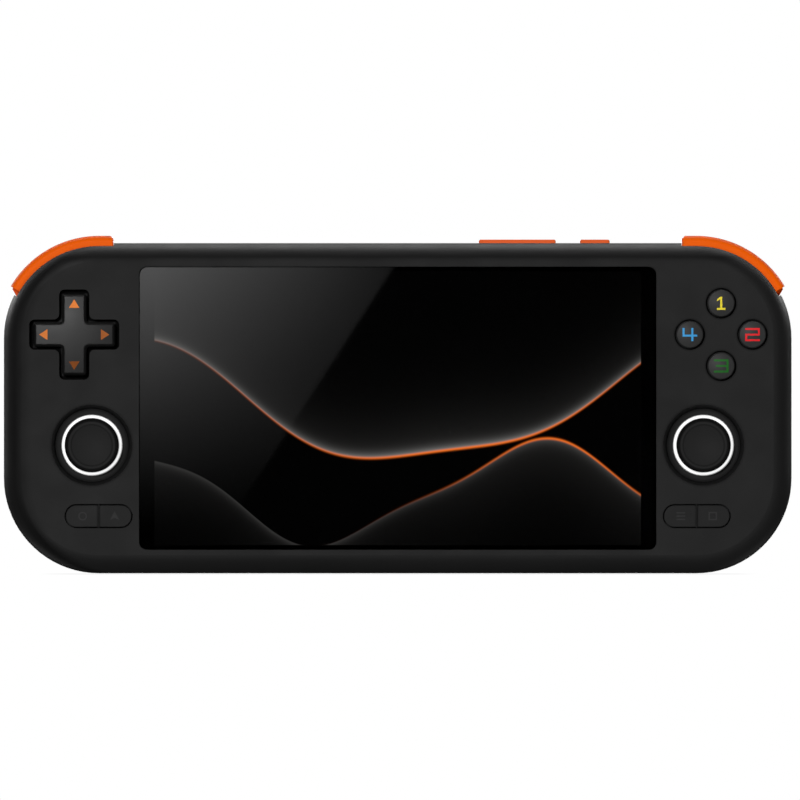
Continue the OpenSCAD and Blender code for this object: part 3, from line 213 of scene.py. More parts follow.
def newFinish(name, **sockets):  # uniform values sit on the shader's own sockets
    material = bpy.data.materials.new(name)
    t = emptyTree(material)
    shader = add(t, "ShaderNodeBsdfPrincipled")
    showSurface(t, shader)
    for socket, value in sockets.items():
        shader.inputs[socket].default_value = value
    return material, t, shader.inputs


# camera: straight on, with a very long lens, so that the sides stay square

view = {"lens": 1200.0, "sensor": 36.0, "across": 218.4, "centre": (0.63, 47.35), "clip": 50}
eyeDistance = view["across"] * view["lens"] / view["sensor"]
lensData = bpy.data.cameras.new("frontLens")
lensData.lens = view["lens"]
lensData.sensor_width = view["sensor"]
lensData.clip_end = view["clip"]
camera = bpy.data.objects.new("frontCamera", lensData)
scene.collection.objects.link(camera)
scene.camera = camera
camera.location = facePoint(*view["centre"], faceZ + eyeDistance)
camera.rotation_euler = (math.pi / 2, 0, 0)
print("camera", round(eyeDistance * mm, 2), "m in front of the face")

# studio: white for the eye and nearly dark for the light, darkest where the screen mirrors it. A key near
# the camera's axis, matt fills that the screen doesn't mirror, and sheen lamps that only the gloss shows

studio = {
    "ambient": 0.05, "darkCone": (-0.97, -0.75), "target": (0, 0, 0.045),
    # degrees right and up from the front, distance and size in metres, power, and what shows of it
    "lamps": {
        "key": (-10, 9, 5.0, (0.55, 0.55), 168.0, "all"),
        "fillRight": (35, 5, 2.2, (0.5, 0.5), 8.0, "matt"),
        "fillLowLeft": (-32, -14, 2.2, (0.5, 0.5), 4.0, "matt"),
        "fillLowRight": (30, -20, 2.2, (0.5, 0.5), 4.0, "matt"),
        "overhead": (180, 80, 1.4, (2.0, 0.6), 51.0, "sheen"),
        "rimLeft": (-122, 25, 1.2, (0.5, 0.5), 20.0, "sheen"),
        "rimRight": (122, 28, 1.2, (0.5, 0.5), 14.0, "sheen"),
        "rimLowLeft": (-120, -45, 1.2, (0.5, 0.5), 2.5, "sheen"),
        "rimLowRight": (120, -45, 1.2, (0.5, 0.5), 1.5, "sheen"),
        "topFill": (180, 55, 1.6, (1.6, 0.8), 14.0, "all"),
        "backFill": (180, 0, 2.0, (1.2, 0.8), 30.0, "all"),
    },
}
world = bpy.data.worlds.new("studio")
scene.world = world
wt = emptyTree(world)
eyeOrLight = add(wt, "ShaderNodeMixShader")
feed(wt, eyeOrLight.inputs[0], add(wt, "ShaderNodeLightPath").outputs["Is Camera Ray"])
way = add(wt, "ShaderNodeSeparateXYZ")
feed(wt, way.inputs[0], add(wt, "ShaderNodeTexCoord").outputs["Generated"])
dim = spread(wt, way.outputs[1], 0.0, studio["ambient"], *studio["darkCone"])
for i, strength in ((1, dim), (2, 1.0)):
    sky = add(wt, "ShaderNodeBackground")
    sky.inputs["Color"].default_value = (1, 1, 1, 1)
    feed(wt, sky.inputs["Strength"], strength)
    feed(wt, eyeOrLight.inputs[i], sky.outputs[0])
feed(wt, add(wt, "ShaderNodeOutputWorld").inputs["Surface"], eyeOrLight.outputs[0])

for name, (right, up, away, size, power, shows) in studio["lamps"].items():
    right, up = math.radians(right), math.radians(up)
    toLamp = Vector((math.sin(right) * math.cos(up), -math.cos(right) * math.cos(up), math.sin(up)))
    data = bpy.data.lights.new(name, "AREA")
    data.shape = "RECTANGLE"
    data.size, data.size_y = size
    data.energy = power
    lamp = bpy.data.objects.new(name, data)
    lamp.location = Vector(studio["target"]) + toLamp * away
    lamp.rotation_euler = (-toLamp).to_track_quat("-Z", "Y").to_euler()
    lamp.visible_camera = False
    lamp.visible_diffuse = shows != "sheen"
    lamp.visible_glossy = lamp.visible_transmission = shows != "matt"
    scene.collection.objects.link(lamp)


def stagePiece(name, bm, material, *hidden):  # hidden: kinds of ray that don't see it
    mesh = bpy.data.meshes.new(name)
    bm.to_mesh(mesh)
    bm.free()
    mesh.materials.append(material)
    obj = bpy.data.objects.new(name, mesh)
    for kind in hidden:
        setattr(obj, "visible_" + kind, False)
    scene.collection.objects.link(obj)


# floor: white, with a faint painted shade where the foot rests on it, and clear from below

floor = {"size": 12.0, "drop": 0.2, "reach": 5.0, "samples": 16, "open": (0.3, 1.0), "light": (0.7, 1.0)}
floorMaterial = bpy.data.materials.new("whiteFloor")
ft = emptyTree(floorMaterial)
floorGlow = add(ft, "ShaderNodeEmission")
near = add(ft, "ShaderNodeAmbientOcclusion", samples=floor["samples"])
near.inputs["Distance"].default_value = floor["reach"] * mm
feed(ft, floorGlow.inputs["Strength"], spread(ft, near.outputs["AO"], *floor["light"], *floor["open"]))
oneSided = add(ft, "ShaderNodeMixShader")
feed(ft, oneSided.inputs[0], add(ft, "ShaderNodeNewGeometry").outputs["Backfacing"])
for i, side in ((1, floorGlow), (2, add(ft, "ShaderNodeBsdfTransparent"))):
    feed(ft, oneSided.inputs[i], side.outputs[0])
showSurface(ft, oneSided)
bm = bmesh.new()
bmesh.ops.create_grid(bm, x_segments=2, y_segments=2, size=floor["size"])
bmesh.ops.translate(bm, vec=(0, 0, -floor["drop"] * mm), verts=bm.verts)
stagePiece("floor", bm, floorMaterial, "diffuse", "glossy", "transmission", "shadow")

# a slanted card beside the camera, which the screen mirrors as a diagonal sheen; its corners and its
# fading are given where they appear on the glass

sheen = {
    "distance": 2000.0, "peak": 1.95, "power": 2.05,
    "corners": [(-90, 100), (9.4, 100), (-58.3, -5), (-90, -5)],
    "from": (-67.6, 82.8), "fade": (0.01025, 0.01354),
}
grow = 1 + sheen["distance"] / eyeDistance


def onCard(value, axis):  # from a place on the glass to the card's
    return view["centre"][axis] + (value - view["centre"][axis]) * grow


cardMaterial = bpy.data.materials.new("sheenCard")
ct = emptyTree(cardMaterial)
cardGlow = add(ct, "ShaderNodeEmission")
showSurface(ct, cardGlow)
cardX, cardY = facePlaces(ct)[:2]
past = (calc(ct, "SUBTRACT", cardX, onCard(sheen["from"][0], 0)),
        calc(ct, "SUBTRACT", onCard(sheen["from"][1], 1), cardY))
fades = [calc(ct, "MULTIPLY_ADD", far, -fade / grow, 1.0, clamp=True)
         for far, fade in zip(past, sheen["fade"])]
faded = calc(ct, "POWER", calc(ct, "MULTIPLY", *fades), sheen["power"])
feed(ct, cardGlow.inputs["Strength"], calc(ct, "MULTIPLY", faded, sheen["peak"]))
bm = bmesh.new()
bm.faces.new([bm.verts.new(facePoint(onCard(x, 0), onCard(y, 1), glassHigh.z + sheen["distance"]))
              for x, y in sheen["corners"]])
stagePiece("sheenCard", bm, cardMaterial, "camera", "diffuse", "shadow")
print("studio ready:", len(studio["lamps"]), "lamps, a floor and a card")


# finishes; a noise is given by its grain in mm and its detail

def patchy(t, colour, patch, low, high=1.0):  # a tone that drifts between two shares of a colour
    base = linear(*colour)
    return mixColour(t, spread(t, noise(t, *patch), 0, 1), scaled(base, low), scaled(base, high))


plastic = {"patch": (28, 3), "wear": (9, 4), "wearShift": 0.04, "grain": (3, 0.6)}


def mouldedPlastic(name, colour, roughness, specular=0.08, grain=0.14, depth=0.008, shift=0.05, soft=0.12,
                   shade=None, form=None, relief=None):
    material, t, sockets = newFinish(name, **{"Specular IOR Level": specular})
    tone = patchy(t, colour, plastic["patch"], 1 - shift, 1 + shift)
    if shade is not None:  # painted shade: the colour and the specular are darkened where the piece sits deep
        share = shade(t)
        tone = mixColour(t, share, (0, 0, 0, 1), tone)
        feed(t, sockets["Specular IOR Level"], calc(t, "MULTIPLY", share, specular))
    feed(t, sockets["Base Color"], tone)
    wear = (roughness - plastic["wearShift"], roughness + plastic["wearShift"])
    feed(t, sockets["Roughness"], spread(t, noise(t, *plastic["wear"]), *wear))
    under = softEdge(t, soft)
    if form is not None:
        under = form(t, under)
    surface = bump(t, noise(t, grain, *plastic["grain"]), depth, under)
    if relief is not None:
        surface = relief(t, surface)
    feed(t, sockets["Normal"], surface)
    return material


# the pad's flat top; its stops are levels of painted shade down its sloping sides
padShape = {
    "arm": 2.55, "long": 10.25, "inner": 2.4, "crown": 100.0, "edge": 0.12,
    "stops": [(0.0, 1.0), (0.2, 0.9), (0.6, 0.62), (0.85, 0.28), (1.15, 0.05)],
}


def padPlaces(t):  # places from the pad's middle, and how far they lie outside its flat top
    x, y = facePlaces(t)[:2]
    across, along = calc(t, "SUBTRACT", x, padMiddle.x), calc(t, "SUBTRACT", y, padMiddle.y)
    wide, high = calc(t, "ABSOLUTE", across), calc(t, "ABSOLUTE", along)
    arm, long = padShape["arm"], padShape["long"]
    arms = [calc(t, "MAXIMUM", calc(t, "SUBTRACT", a, arm), calc(t, "SUBTRACT", b, long))
            for a, b in ((wide, high), (high, wide))]
    return across, along, calc(t, "SMOOTH_MIN", *arms, padShape["inner"])


def padShade(t):  # painted shade: darker from the edge of the pad's top outwards, down its sloping sides
    return steps(t, padPlaces(t)[2], padShape["stops"])


def padForm(t, under):  # the pad's top takes light as one even crown, with straight edges
    across, along, beyond = padPlaces(t)
    lean = [calc(t, "DIVIDE", place, padShape["crown"]) for place in (across, along)]
    turned = add(t, "ShaderNodeVectorTransform", vector_type="NORMAL", convert_from="OBJECT",
                 convert_to="WORLD")
    feed(t, turned.inputs[0], vector(t, lean[0], -1.0, lean[1]))
    onSides = spread(t, beyond, 0, 1, 0.0, padShape["edge"])
    mix = add(t, "ShaderNodeMix", data_type="VECTOR")
    for i, value in ((0, onSides), (4, turned.outputs[0]), (5, under)):
        feed(t, mix.inputs[i], value)
    unit = add(t, "ShaderNodeVectorMath", operation="NORMALIZE")
    feed(t, unit.inputs[0], mix.outputs[1])
    return unit.outputs[0]


def sunk(low, high, least=0.1):  # painted shade: nearly black below one height over the face and full colour above another
    return lambda t: spread(t, facePlaces(t)[2], least, 1, faceZ + low, faceZ + high)


def ringed(stops):  # levels by the distance from the thumbstick's axis
    return lambda t: steps(t, fromAxis(t, stickMiddle), stops)


# painted shade: levels of shade painted into the shell round the sticks, the face buttons, the pad and
# the menus
wells = {
    "stick": [(8.3, 1.0), (9.0, 0.95), (9.4, 0.8), (9.65, 0.52), (9.95, 0.6), (10.15, 0.92), (10.4, 1.0),
              (10.65, 0.88), (10.9, 0.6), (11.2, 0.77), (11.8, 1.0)],
    "button": [(3.9, 0.5), (4.3, 0.75), (4.8, 1.0)],
    "pad": (13.0, 13.2), "deep": 0.12, "lip": (-0.35, -0.05),
    "flange": 0.8, "pillLine": 0.4,
    "pill": [(0.0, 1.0), (0.25, 0.9), (0.4, 0.75), (0.7, 0.75), (0.85, 0.9), (1.1, 1.0)],
    "split": [(0.2, 0.65), (0.45, 0.85), (0.75, 1.0)],
}


def pillShade(t):  # painted shade: a soft dark line round a pair of menu buttons
    low, high = menuBox("right")
    middle, half = (low + high) / 2, (high - low) / 2
    radius = half.y - wells["flange"]
    x, y = facePlaces(t)[:2]
    aside = apart(t, calc(t, "ABSOLUTE", x), middle.x)
    across = calc(t, "MAXIMUM", calc(t, "SUBTRACT", aside, half.x - wells["flange"] - radius), 0.0)
    beyond = distance(t, across, calc(t, "SUBTRACT", y, middle.y))
    return steps(t, calc(t, "SUBTRACT", beyond, radius - wells["pillLine"]), wells["pill"])


def menuShade(t):  # painted shade: the same line, and one where the two buttons meet
    low, high = menuBox("right")
    fromSplit = apart(t, calc(t, "ABSOLUTE", facePlaces(t)[0]), (low.x + high.x) / 2)
    return calc(t, "MULTIPLY", pillShade(t), steps(t, fromSplit, wells["split"]))


# painted shade: levels by the distance in from the left and top edges
edges = {
    "corner": 26.0,
    "left": [(0.0, 0.8), (2.2, 0.8), (3.3, 0.62), (4.4, 0.52), (5.5, 0.74), (6.6, 0.88), (7.7, 1.0)],
    "top": [(2.8, 1.0), (3.9, 0.66), (4.5, 0.78), (5.2, 0.95), (5.8, 1.0)],
}


def edgeShade(t):  # painted shade: the colour darkens softly towards the left and top edges, by the distance inside the outline
    x, y = facePlaces(t)[:2]
    low, high = faceBox("front_shell")
    straight = (high.y - low.y) / 2 - edges["corner"]
    offMiddle = apart(t, y, (low.y + high.y) / 2)
    past = calc(t, "MAXIMUM", calc(t, "SUBTRACT", offMiddle, straight), 0.0)
    rest = calc(t, "SUBTRACT", edges["corner"] ** 2, calc(t, "MULTIPLY", past, past))
    inset = calc(t, "SUBTRACT", edges["corner"], calc(t, "SQRT", calc(t, "MAXIMUM", rest, 0.0)))
    fromLeft = calc(t, "SUBTRACT", calc(t, "SUBTRACT", x, low.x), inset)
    fromTop = calc(t, "SUBTRACT", high.y, y)
    return calc(t, "MULTIPLY", steps(t, fromLeft, edges["left"]), steps(t, fromTop, edges["top"]))


def wellShade(t):  # painted shade: the shell darkens in the wells of the sticks, the pad and the buttons
    share = calc(t, "MULTIPLY", ringed(wells["stick"])(t), edgeShade(t))
    for button in faceButtons:
        near = steps(t, fromAxis(t, faceMiddle(button), False), wells["button"])
        share = calc(t, "MULTIPLY", share, near)
    outside = spread(t, fromAxis(t, Vector((-padMiddle.x, padMiddle.y))), 0, 1, *wells["pad"])
    deep = spread(t, facePlaces(t)[2], wells["deep"], 1, *(faceZ + lip for lip in wells["lip"]))
    share = calc(t, "MULTIPLY", share, pillShade(t))
    return calc(t, "MULTIPLY", share, calc(t, "MAXIMUM", outside, deep))


brushed = {"patch": (3, 3), "dark": 0.86, "detail": 3, "wear": (-0.08, 0.1), "depth": 0.006}


def metal(name, colour, roughness, brush=(0.15, 4.0)):  # brush: width and length of its lines, in mm
    material, t, sockets = newFinish(name, Metallic=1.0)
    stretched = mapped(t, "Scale", (1, brush[0] / brush[1], 1))
    lines = noise(t, brush[0], brushed["detail"], places=stretched)
    feed(t, sockets["Base Color"], patchy(t, colour, brushed["patch"], brushed["dark"]))
    feed(t, sockets["Roughness"], spread(t, lines, *(roughness + wear for wear in brushed["wear"])))
    feed(t, sockets["Normal"], bump(t, lines, brushed["depth"]))
    return material


board = {"pitch": 4.2, "track": 0.06, "offset": 0.37, "dark": 0.8, "depth": 0.02}


def circuitBoard(name, mask, track):
    material, t, sockets = newFinish(name, **{"Roughness": 0.35, "Coat Weight": 0.4})
    tracks = add(t, "ShaderNodeTexBrick", offset=board["offset"])
    for socket, value in (("Scale", 1 / (board["pitch"] * mm)), ("Mortar Size", board["track"]),
                          ("Color1", linear(*mask)), ("Color2", scaled(linear(*mask), board["dark"])),
                          ("Mortar", linear(*track))):
        tracks.inputs[socket].default_value = value
    feed(t, tracks.inputs["Vector"], mapped(t, "Rotation", (math.pi / 2, 0, 0)))
    feed(t, sockets["Base Color"], tracks.outputs["Color"])
    feed(t, sockets["Normal"], bump(t, tracks.outputs["Fac"], board["depth"]))
    return material


rubber = {"patch": (2.5, 3), "dark": 0.9, "grain": (0.12, 2), "depth": 0.01}


def siliconeRubber(name, colour, roughness):
    material, t, sockets = newFinish(name, **{"Roughness": roughness, "Subsurface Weight": 0.15,
                                              "Subsurface Scale": 0.8 * mm})
    feed(t, sockets["Base Color"], patchy(t, colour, rubber["patch"], rubber["dark"]))
    feed(t, sockets["Normal"], bump(t, noise(t, *rubber["grain"]), rubber["depth"]))
    return material


grip = {"pitch": 1.5, "height": 0.14, "fall": 2.4, "start": 74.0, "back": -6.2, "blend": (4.0, 1.5)}


def gripDots(t, under):  # raised dots on the palm grips, behind the rear wall
    x, y, z = facePlaces(t)
    dots = add(t, "ShaderNodeTexVoronoi", feature="F1", voronoi_dimensions="2D")
    dots.inputs["Scale"].default_value = 1 / (grip["pitch"] * math.sqrt(2))
    dots.inputs["Randomness"].default_value = 0.0
    feed(t, dots.inputs["Vector"], vector(t, calc(t, "ADD", x, y), calc(t, "SUBTRACT", x, y)))
    dot = calc(t, "MULTIPLY_ADD", dots.outputs["Distance"], -grip["fall"], 1.0, clamp=True)
    outward = spread(t, calc(t, "ABSOLUTE", x), 0, 1, grip["start"], grip["start"] + grip["blend"][0])
    behind = spread(t, z, 1, 0, grip["back"] - grip["blend"][1], grip["back"])
    return bump(t, calc(t, "MULTIPLY", calc(t, "MULTIPLY", dot, outward), behind), grip["height"], under)


glass = {"smear": (14, 3), "rough": (0.0, 0.015)}


def glassFinish():  # clear; square on, the sheet bonded to it gives the gloss
    material, t, sockets = newFinish("screenGlass", **{
        "Base Color": (0.98, 0.98, 0.98, 1), "IOR": 1.5, "Transmission Weight": 1.0,
        "Specular Tint": (0, 0, 0, 1)})
    feed(t, sockets["Roughness"], spread(t, noise(t, *glass["smear"]), *glass["rough"]))
    return material


# cap: painted shade on the thumbstick cap, a dark line round its dish and a darker rim; glow: the light
# ring's brightness
stick = {
    "cap": [(0.0, 1.0), (4.9, 1.0), (5.3, 1.0), (5.55, 0.64), (5.75, 0.64), (5.95, 0.97), (6.2, 0.95),
            (6.6, 0.42), (7.0, 0.3), (7.4, 0.25)],
    "glow": [(7.3, 0.02), (7.5, 0.6), (7.7, 0.95), (7.95, 0.95), (8.12, 0.5), (8.25, 0.2)],
    "glowPatch": (1.5, 2), "glowLevel": (0.94, 1.0),
}


def ringFinish():
    material, t, sockets = newFinish("lightRing", **{
        "Base Color": (0.3, 0.3, 0.3, 1), "Roughness": 0.45, "Emission Color": (1, 1, 1, 1)})
    even = spread(t, noise(t, *stick["glowPatch"]), *stick["glowLevel"])
    feed(t, sockets["Emission Strength"], calc(t, "MULTIPLY", ringed(stick["glow"])(t), even))
    return material


ink = {"patch": (0.6, 2), "dark": 0.92, "grain": (0.1, 2), "depth": 0.006}


def printedMark(name, colour):
    material, t, sockets = newFinish(name, **{"Roughness": 0.5, "Specular IOR Level": 0.08})
    feed(t, sockets["Base Color"], patchy(t, colour, ink["patch"], ink["dark"]))
    feed(t, sockets["Normal"], bump(t, noise(t, *ink["grain"]), ink["depth"]))
    return material


shellLook = {"colour": (25, 25, 25), "roughness": 0.5, "specular": 0.075}
shellGrain = {"grain": 0.16, "depth": 0.012}
# painted shade goes into the colour of the front shell, menu buttons, pad, face buttons and caps through
# their shade functions
frontBlack = mouldedPlastic("frontShell", **shellLook, **shellGrain, shade=wellShade)
rearBlack = mouldedPlastic("rearShell", **shellLook, **shellGrain, relief=gripDots)
menuBlack = mouldedPlastic("menuPlastic", **shellLook, shade=menuShade)
padGrey = mouldedPlastic("padPlastic", (31, 31, 31), 0.39, specular=0.14, soft=0.3, shade=padShade,
                         form=padForm)
buttonGrey = mouldedPlastic("buttonPlastic", (45, 45, 45), 0.45, specular=0.1, shade=sunk(-0.3, 0.4))
ribBlack = mouldedPlastic("ribPlastic", (22, 22, 22), 0.5, specular=0.05)
skirtBlack = mouldedPlastic("skirtPlastic", (15, 15, 15), 0.5, specular=0.05)
# the cap's colour carries painted shade by the distance from its axis
capRubber = mouldedPlastic("capRubber", (34, 34, 34), 0.6, specular=0.05, grain=0.3, depth=0.02,
                           shade=ringed(stick["cap"]))
shoulderOrange = mouldedPlastic("shoulderOrange", (233, 92, 3), 0.42, specular=0.03, shift=0.03)
# the triggers and the shoulder lips take a darker copy of the shoulders' orange, as painted shade
paintedShadeOrange = mouldedPlastic("paintedShadeOrange", (214, 76, 6), 0.42, specular=0.05, shift=0.03)
keyOrange = mouldedPlastic("keyOrange", (234, 96, 40), 0.42, specular=0.05, shift=0.03)
innerBlack = mouldedPlastic("innerBlack", (20, 20, 21), 0.6, specular=0.15)
# near-black for the crosses in the screw heads, painted shade of a recessed slot
paintedRecessShade = mouldedPlastic("paintedRecessShade", (8, 8, 8), 0.7, specular=0.03)
batteryGrey = mouldedPlastic("batteryWrap", (70, 72, 76), 0.45, specular=0.3, grain=1.2, depth=0.05)
steel = metal("steel", (186, 188, 192), 0.34)
zinc = metal("zinc", (96, 97, 101), 0.4)
finBlack = metal("finBlack", (46, 47, 50), 0.55)
castAlloy = metal("castAlloy", (142, 145, 150), 0.5, brush=(0.4, 0.6))
copper = metal("copper", (196, 122, 84), 0.3)
boardGreen = circuitBoard("boardGreen", (14, 66, 40), (40, 110, 66))
matGrey = siliconeRubber("matRubber", (128, 128, 132), 0.6)
clearGlass = glassFinish()
ringWhite = ringFinish()

finishes = {
    frontBlack: ["front_shell"],
    rearBlack: ["rear_shell"],
    clearGlass: ["screen_glass"],
    padGrey: ["dpad"],
    buttonGrey: faceButtons,
    menuBlack: [f"{side}_menu_button_{place}" for side in sides for place in menuPlaces],
    capRubber: [f"{side}_stick_cap" for side in sides],
    ringWhite: [f"{side}_light_ring" for side in sides],
    shoulderOrange: [f"{side}_shoulder_button" for side in sides],
    paintedShadeOrange: [f"{side}_trigger" for side in sides],
    keyOrange: ["power_button", "volume_rocker"],
    innerBlack: ["display_panel", "fan_housing", "fan_rotor", "headphone_jack"]
    + [f"{side}_{piece}" for side in sides for piece in ("stick_frame", "speaker")],
    batteryGrey: ["battery"],
    castAlloy: ["mid_frame"],
    copper: ["heat_pipe"],
    finBlack: ["heat_sink"],
    zinc: ["case_screws"],
    boardGreen: ["main_board", "io_board", "left_control_board", "right_control_board",
                 "top_key_switches"],
    matGrey: ["dpad_membrane", "face_button_membrane", "menu_membranes", "shoulder_switches"],
    steel: ["dpad_pivot_ball", "shoulder_pins", "trigger_pins", "trigger_springs", "rumble_motors",
            "usb_port", "card_socket", "board_screws"]
    + [f"{side}_stick_{piece}" for side in sides for piece in ("ring", "yoke", "trunnion", "lever")],
}
for material, names in finishes.items():
    for name in names:
        nodes[name].data.materials.clear()
        nodes[name].data.materials.append(material)
print("finishes on", sum(len(names) for names in finishes.values()), "nodes")


# pieces drawn flat, x right and y up in mm, then stood upright at the face

def newMesh(name, bm, material, body):
    bm.normal_update()
    mesh = bpy.data.meshes.new(name)
    bm.to_mesh(mesh)
    bm.free()
    obj = bpy.data.objects.new(name, mesh)
    scene.collection.objects.link(obj)
    mesh.materials.append(material)
    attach(obj, body)


def standAt(name, bm, at, material, body):  # at: where the drawing's origin goes in the face frame
    bmesh.ops.translate(bm, vec=at, verts=bm.verts)
    upright = Matrix(((mm, 0, 0, 0), (0, 0, -mm, 0), (0, mm, 0, 0), (0, 0, 0, 1)))
    bmesh.ops.transform(bm, matrix=upright, verts=bm.verts)
    newMesh(name, bm, material, body)


def pull(bm, vec):  # all faces drawn out into a closed solid
    lifted = bmesh.ops.extrude_face_region(bm, geom=list(bm.faces))
    moved = [v for v in lifted["geom"] if isinstance(v, bmesh.types.BMVert)]
    bmesh.ops.translate(bm, vec=vec, verts=moved)
    bmesh.ops.recalc_face_normals(bm, faces=bm.faces)


def thicken(bm, low, high):  # from flat at z 0 to a plate between two heights
    bmesh.ops.translate(bm, vec=(0, 0, low), verts=bm.verts)
    pull(bm, (0, 0, high - low))


def dome(bm, top, radius):  # lifts a plate to a crowned top, which falls away from the drawing's origin
    for v in bm.verts:
        v.co.z += top - (radius - math.sqrt(radius ** 2 - v.co.x ** 2 - v.co.y ** 2))


def roundCorners(bm, radius, segments):
    bmesh.ops.bevel(bm, geom=list(bm.verts), offset=radius, affect="VERTICES", segments=segments,
                    profile=0.5, material=-1)


def drawn(outline):  # one flat face from its corners
    bm = bmesh.new()
    bm.faces.new([bm.verts.new((x, y, 0)) for x, y in outline])
    return bm


def addRectangle(bm, wide, high):
    made = bmesh.ops.create_grid(bm, x_segments=1, y_segments=1, size=0.5)["verts"]
    bmesh.ops.scale(bm, vec=(wide, high, 1), verts=made)
    return made


def flatRing(outer, inner, segments):
    bm = bmesh.new()
    for radius in (outer, inner):
        bmesh.ops.create_circle(bm, segments=segments, radius=radius)
    bmesh.ops.bridge_loops(bm, edges=list(bm.edges))
    return bm


# screen: a sheet bonded inside the glass, black at its border, with two dunes lit along their crests

screen = {
    "inset": 0.08, "corner": (2.12, 8), "sheet": (0.06, 0.1), "lit": (132.8, 74.7), "black": 0.0004,
    "sharp": 3.0, "thin": 9.0, "far": 0.4, "light": (1, 0.98, 0.95, 1), "orange": (240, 112, 34),
    "dunes": [
        # side that glows, height, waves (height, length, shift), glow and haze with their fall,
        # and the lit rim with its place and reach
        {"side": -1, "height": 47.0, "waves": [(17.0, 176.0, -1.75), (3.0, 71.0, 0.6)],
         "glow": (0.26, 0.8), "haze": (0.016, 7.0), "rim": 0.95, "rimAt": 18.0, "rimReach": 52.0},
        {"side": 1, "height": 22.0, "waves": [(13.0, 118.0, -0.5), (2.0, 46.0, 2.0)],
         "glow": (0.07, 0.9), "haze": (0.012, 9.0), "rim": 0.85, "rimAt": 46.0, "rimReach": 26.0},
    ],
}


def bell(t, value, narrow=1.0):  # 1 at zero, falling off to both sides
    return calc(t, "EXPONENT", calc(t, "MULTIPLY", calc(t, "MULTIPLY", value, value), -narrow))


def pictureFinish():
    material, t, sockets = newFinish("litPicture", **{
        "Base Color": (0.001, 0.001, 0.001, 1), "Roughness": 0.01, "IOR": 1.5, "Emission Strength": 1.0})
    x, y = facePlaces(t)[:2]
    black = (screen["black"],) * 3 + (1,)
    colour = black
    for dune in screen["dunes"]:
        crest = dune["height"]
        for height, length, shift in dune["waves"]:
            wave = calc(t, "SINE", calc(t, "MULTIPLY_ADD", x, 2 * math.pi / length, shift))
            crest = calc(t, "MULTIPLY_ADD", wave, height, crest)
        below = calc(t, "MULTIPLY", calc(t, "SUBTRACT", crest, y), dune["side"])
        inside = calc(t, "MULTIPLY_ADD", below, screen["sharp"], 0.5, clamp=True)
        nearRim = bell(t, calc(t, "DIVIDE", calc(t, "SUBTRACT", x, dune["rimAt"]), dune["rimReach"]))
        light = 0.0
        for strength, fall in (dune["glow"], dune["haze"]):
            fading = calc(t, "EXPONENT", calc(t, "DIVIDE", below, -fall))
            light = calc(t, "MULTIPLY_ADD", fading, strength, light)
        along = calc(t, "MULTIPLY_ADD", nearRim, 1 - screen["far"], screen["far"])
        light = calc(t, "MULTIPLY", light, along, clamp=True)
        colour = mixColour(t, inside, colour, mixColour(t, light, black, screen["light"]))
        thin = bell(t, below, screen["thin"])
        rim = calc(t, "MULTIPLY", thin, calc(t, "MULTIPLY", nearRim, dune["rim"]))
        colour = mixColour(t, rim, colour, linear(*screen["orange"]))
    inLit = [calc(t, "LESS_THAN", apart(t, place, middle), size / 2)
             for place, middle, size in zip((x, y), (0.0, glassMiddle.y), screen["lit"])]
    feed(t, sockets["Emission Color"], mixColour(t, calc(t, "MULTIPLY", *inLit), (0, 0, 0, 1), colour))
    return material


bm = bmesh.new()
addRectangle(bm, *(size - 2 * screen["inset"] for size in (glassHigh - glassLow).xy))
roundCorners(bm, *screen["corner"])
thicken(bm, *(glassLow.z + height for height in screen["sheet"]))
standAt("screen_picture", bm, (glassMiddle.x, glassMiddle.y, 0), pictureFinish(), "housing")
print("screen picture in the glass")

# marks: squared numerals on the face buttons, drawn as outlines

faceMarks = {
    "half": (2.0, 1.8), "line": 0.55, "foot": 0.6, "flag": 1.3, "nick": 0.15, "stem": 0.4,
    "round": (0.1, 2), "cuts": 3, "proud": 0.05, "sunk": 0.25, "crown": 14.0,
    "inks": {
        "face_button_north": (232, 212, 56),
        "face_button_east": (216, 36, 42),
        "face_button_south": (30, 96, 32),
        "face_button_west": (62, 150, 208),
    },
}


def numerals():  # outlines of 1 to 4, each gone round once
    w, h = faceMarks["half"]
    line = faceMarks["line"]
    mid = line / 2
    foot = faceMarks["foot"] + line  # half the foot of the 1
    flag = h - faceMarks["flag"] * line  # the end of its flag
    nick = h - line - faceMarks["nick"]  # where the flag leaves its upright
    stem = faceMarks["stem"]  # left side of the upright of the 4
    return [
        [(-foot, -h), (foot, -h), (foot, line - h), (mid, line - h), (mid, h), (-mid, h), (-foot, flag),
         (-foot, flag - line), (-mid, nick), (-mid, line - h), (-foot, line - h)],
        [(-w, h), (-w, h - line), (w - line, h - line), (w - line, mid), (-w, mid), (-w, -h), (w, -h),
         (w, line - h), (line - w, line - h), (line - w, -mid), (w, -mid), (w, h)],
        [(-w, h), (-w, h - line), (w - line, h - line), (w - line, mid), (line - w, mid),
         (line - w, -mid), (w - line, -mid), (w - line, line - h), (-w, line - h), (-w, -h), (w, -h),
         (w, h)],
        [(-w, h), (-w, -line), (stem, -line), (stem, -h), (stem + line, -h), (stem + line, -line),
         (w, -line), (w, 0), (stem + line, 0), (stem + line, h), (stem, h), (stem, 0), (line - w, 0),
         (line - w, h)],
    ]


for (button, colour), outline in zip(faceMarks["inks"].items(), numerals()):
    bm = drawn(outline)
    roundCorners(bm, *faceMarks["round"])
    bmesh.ops.triangulate(bm, faces=list(bm.faces))
    bmesh.ops.subdivide_edges(bm, edges=list(bm.edges), cuts=faceMarks["cuts"], use_grid_fill=True)
    thicken(bm, -faceMarks["sunk"], faceMarks["proud"])
    dome(bm, faceBox(button)[1].z, faceMarks["crown"])
    middle = faceMiddle(button)
    standAt("mark_" + button, bm, (middle.x, middle.y, 0), printedMark("ink_" + button, colour), button)
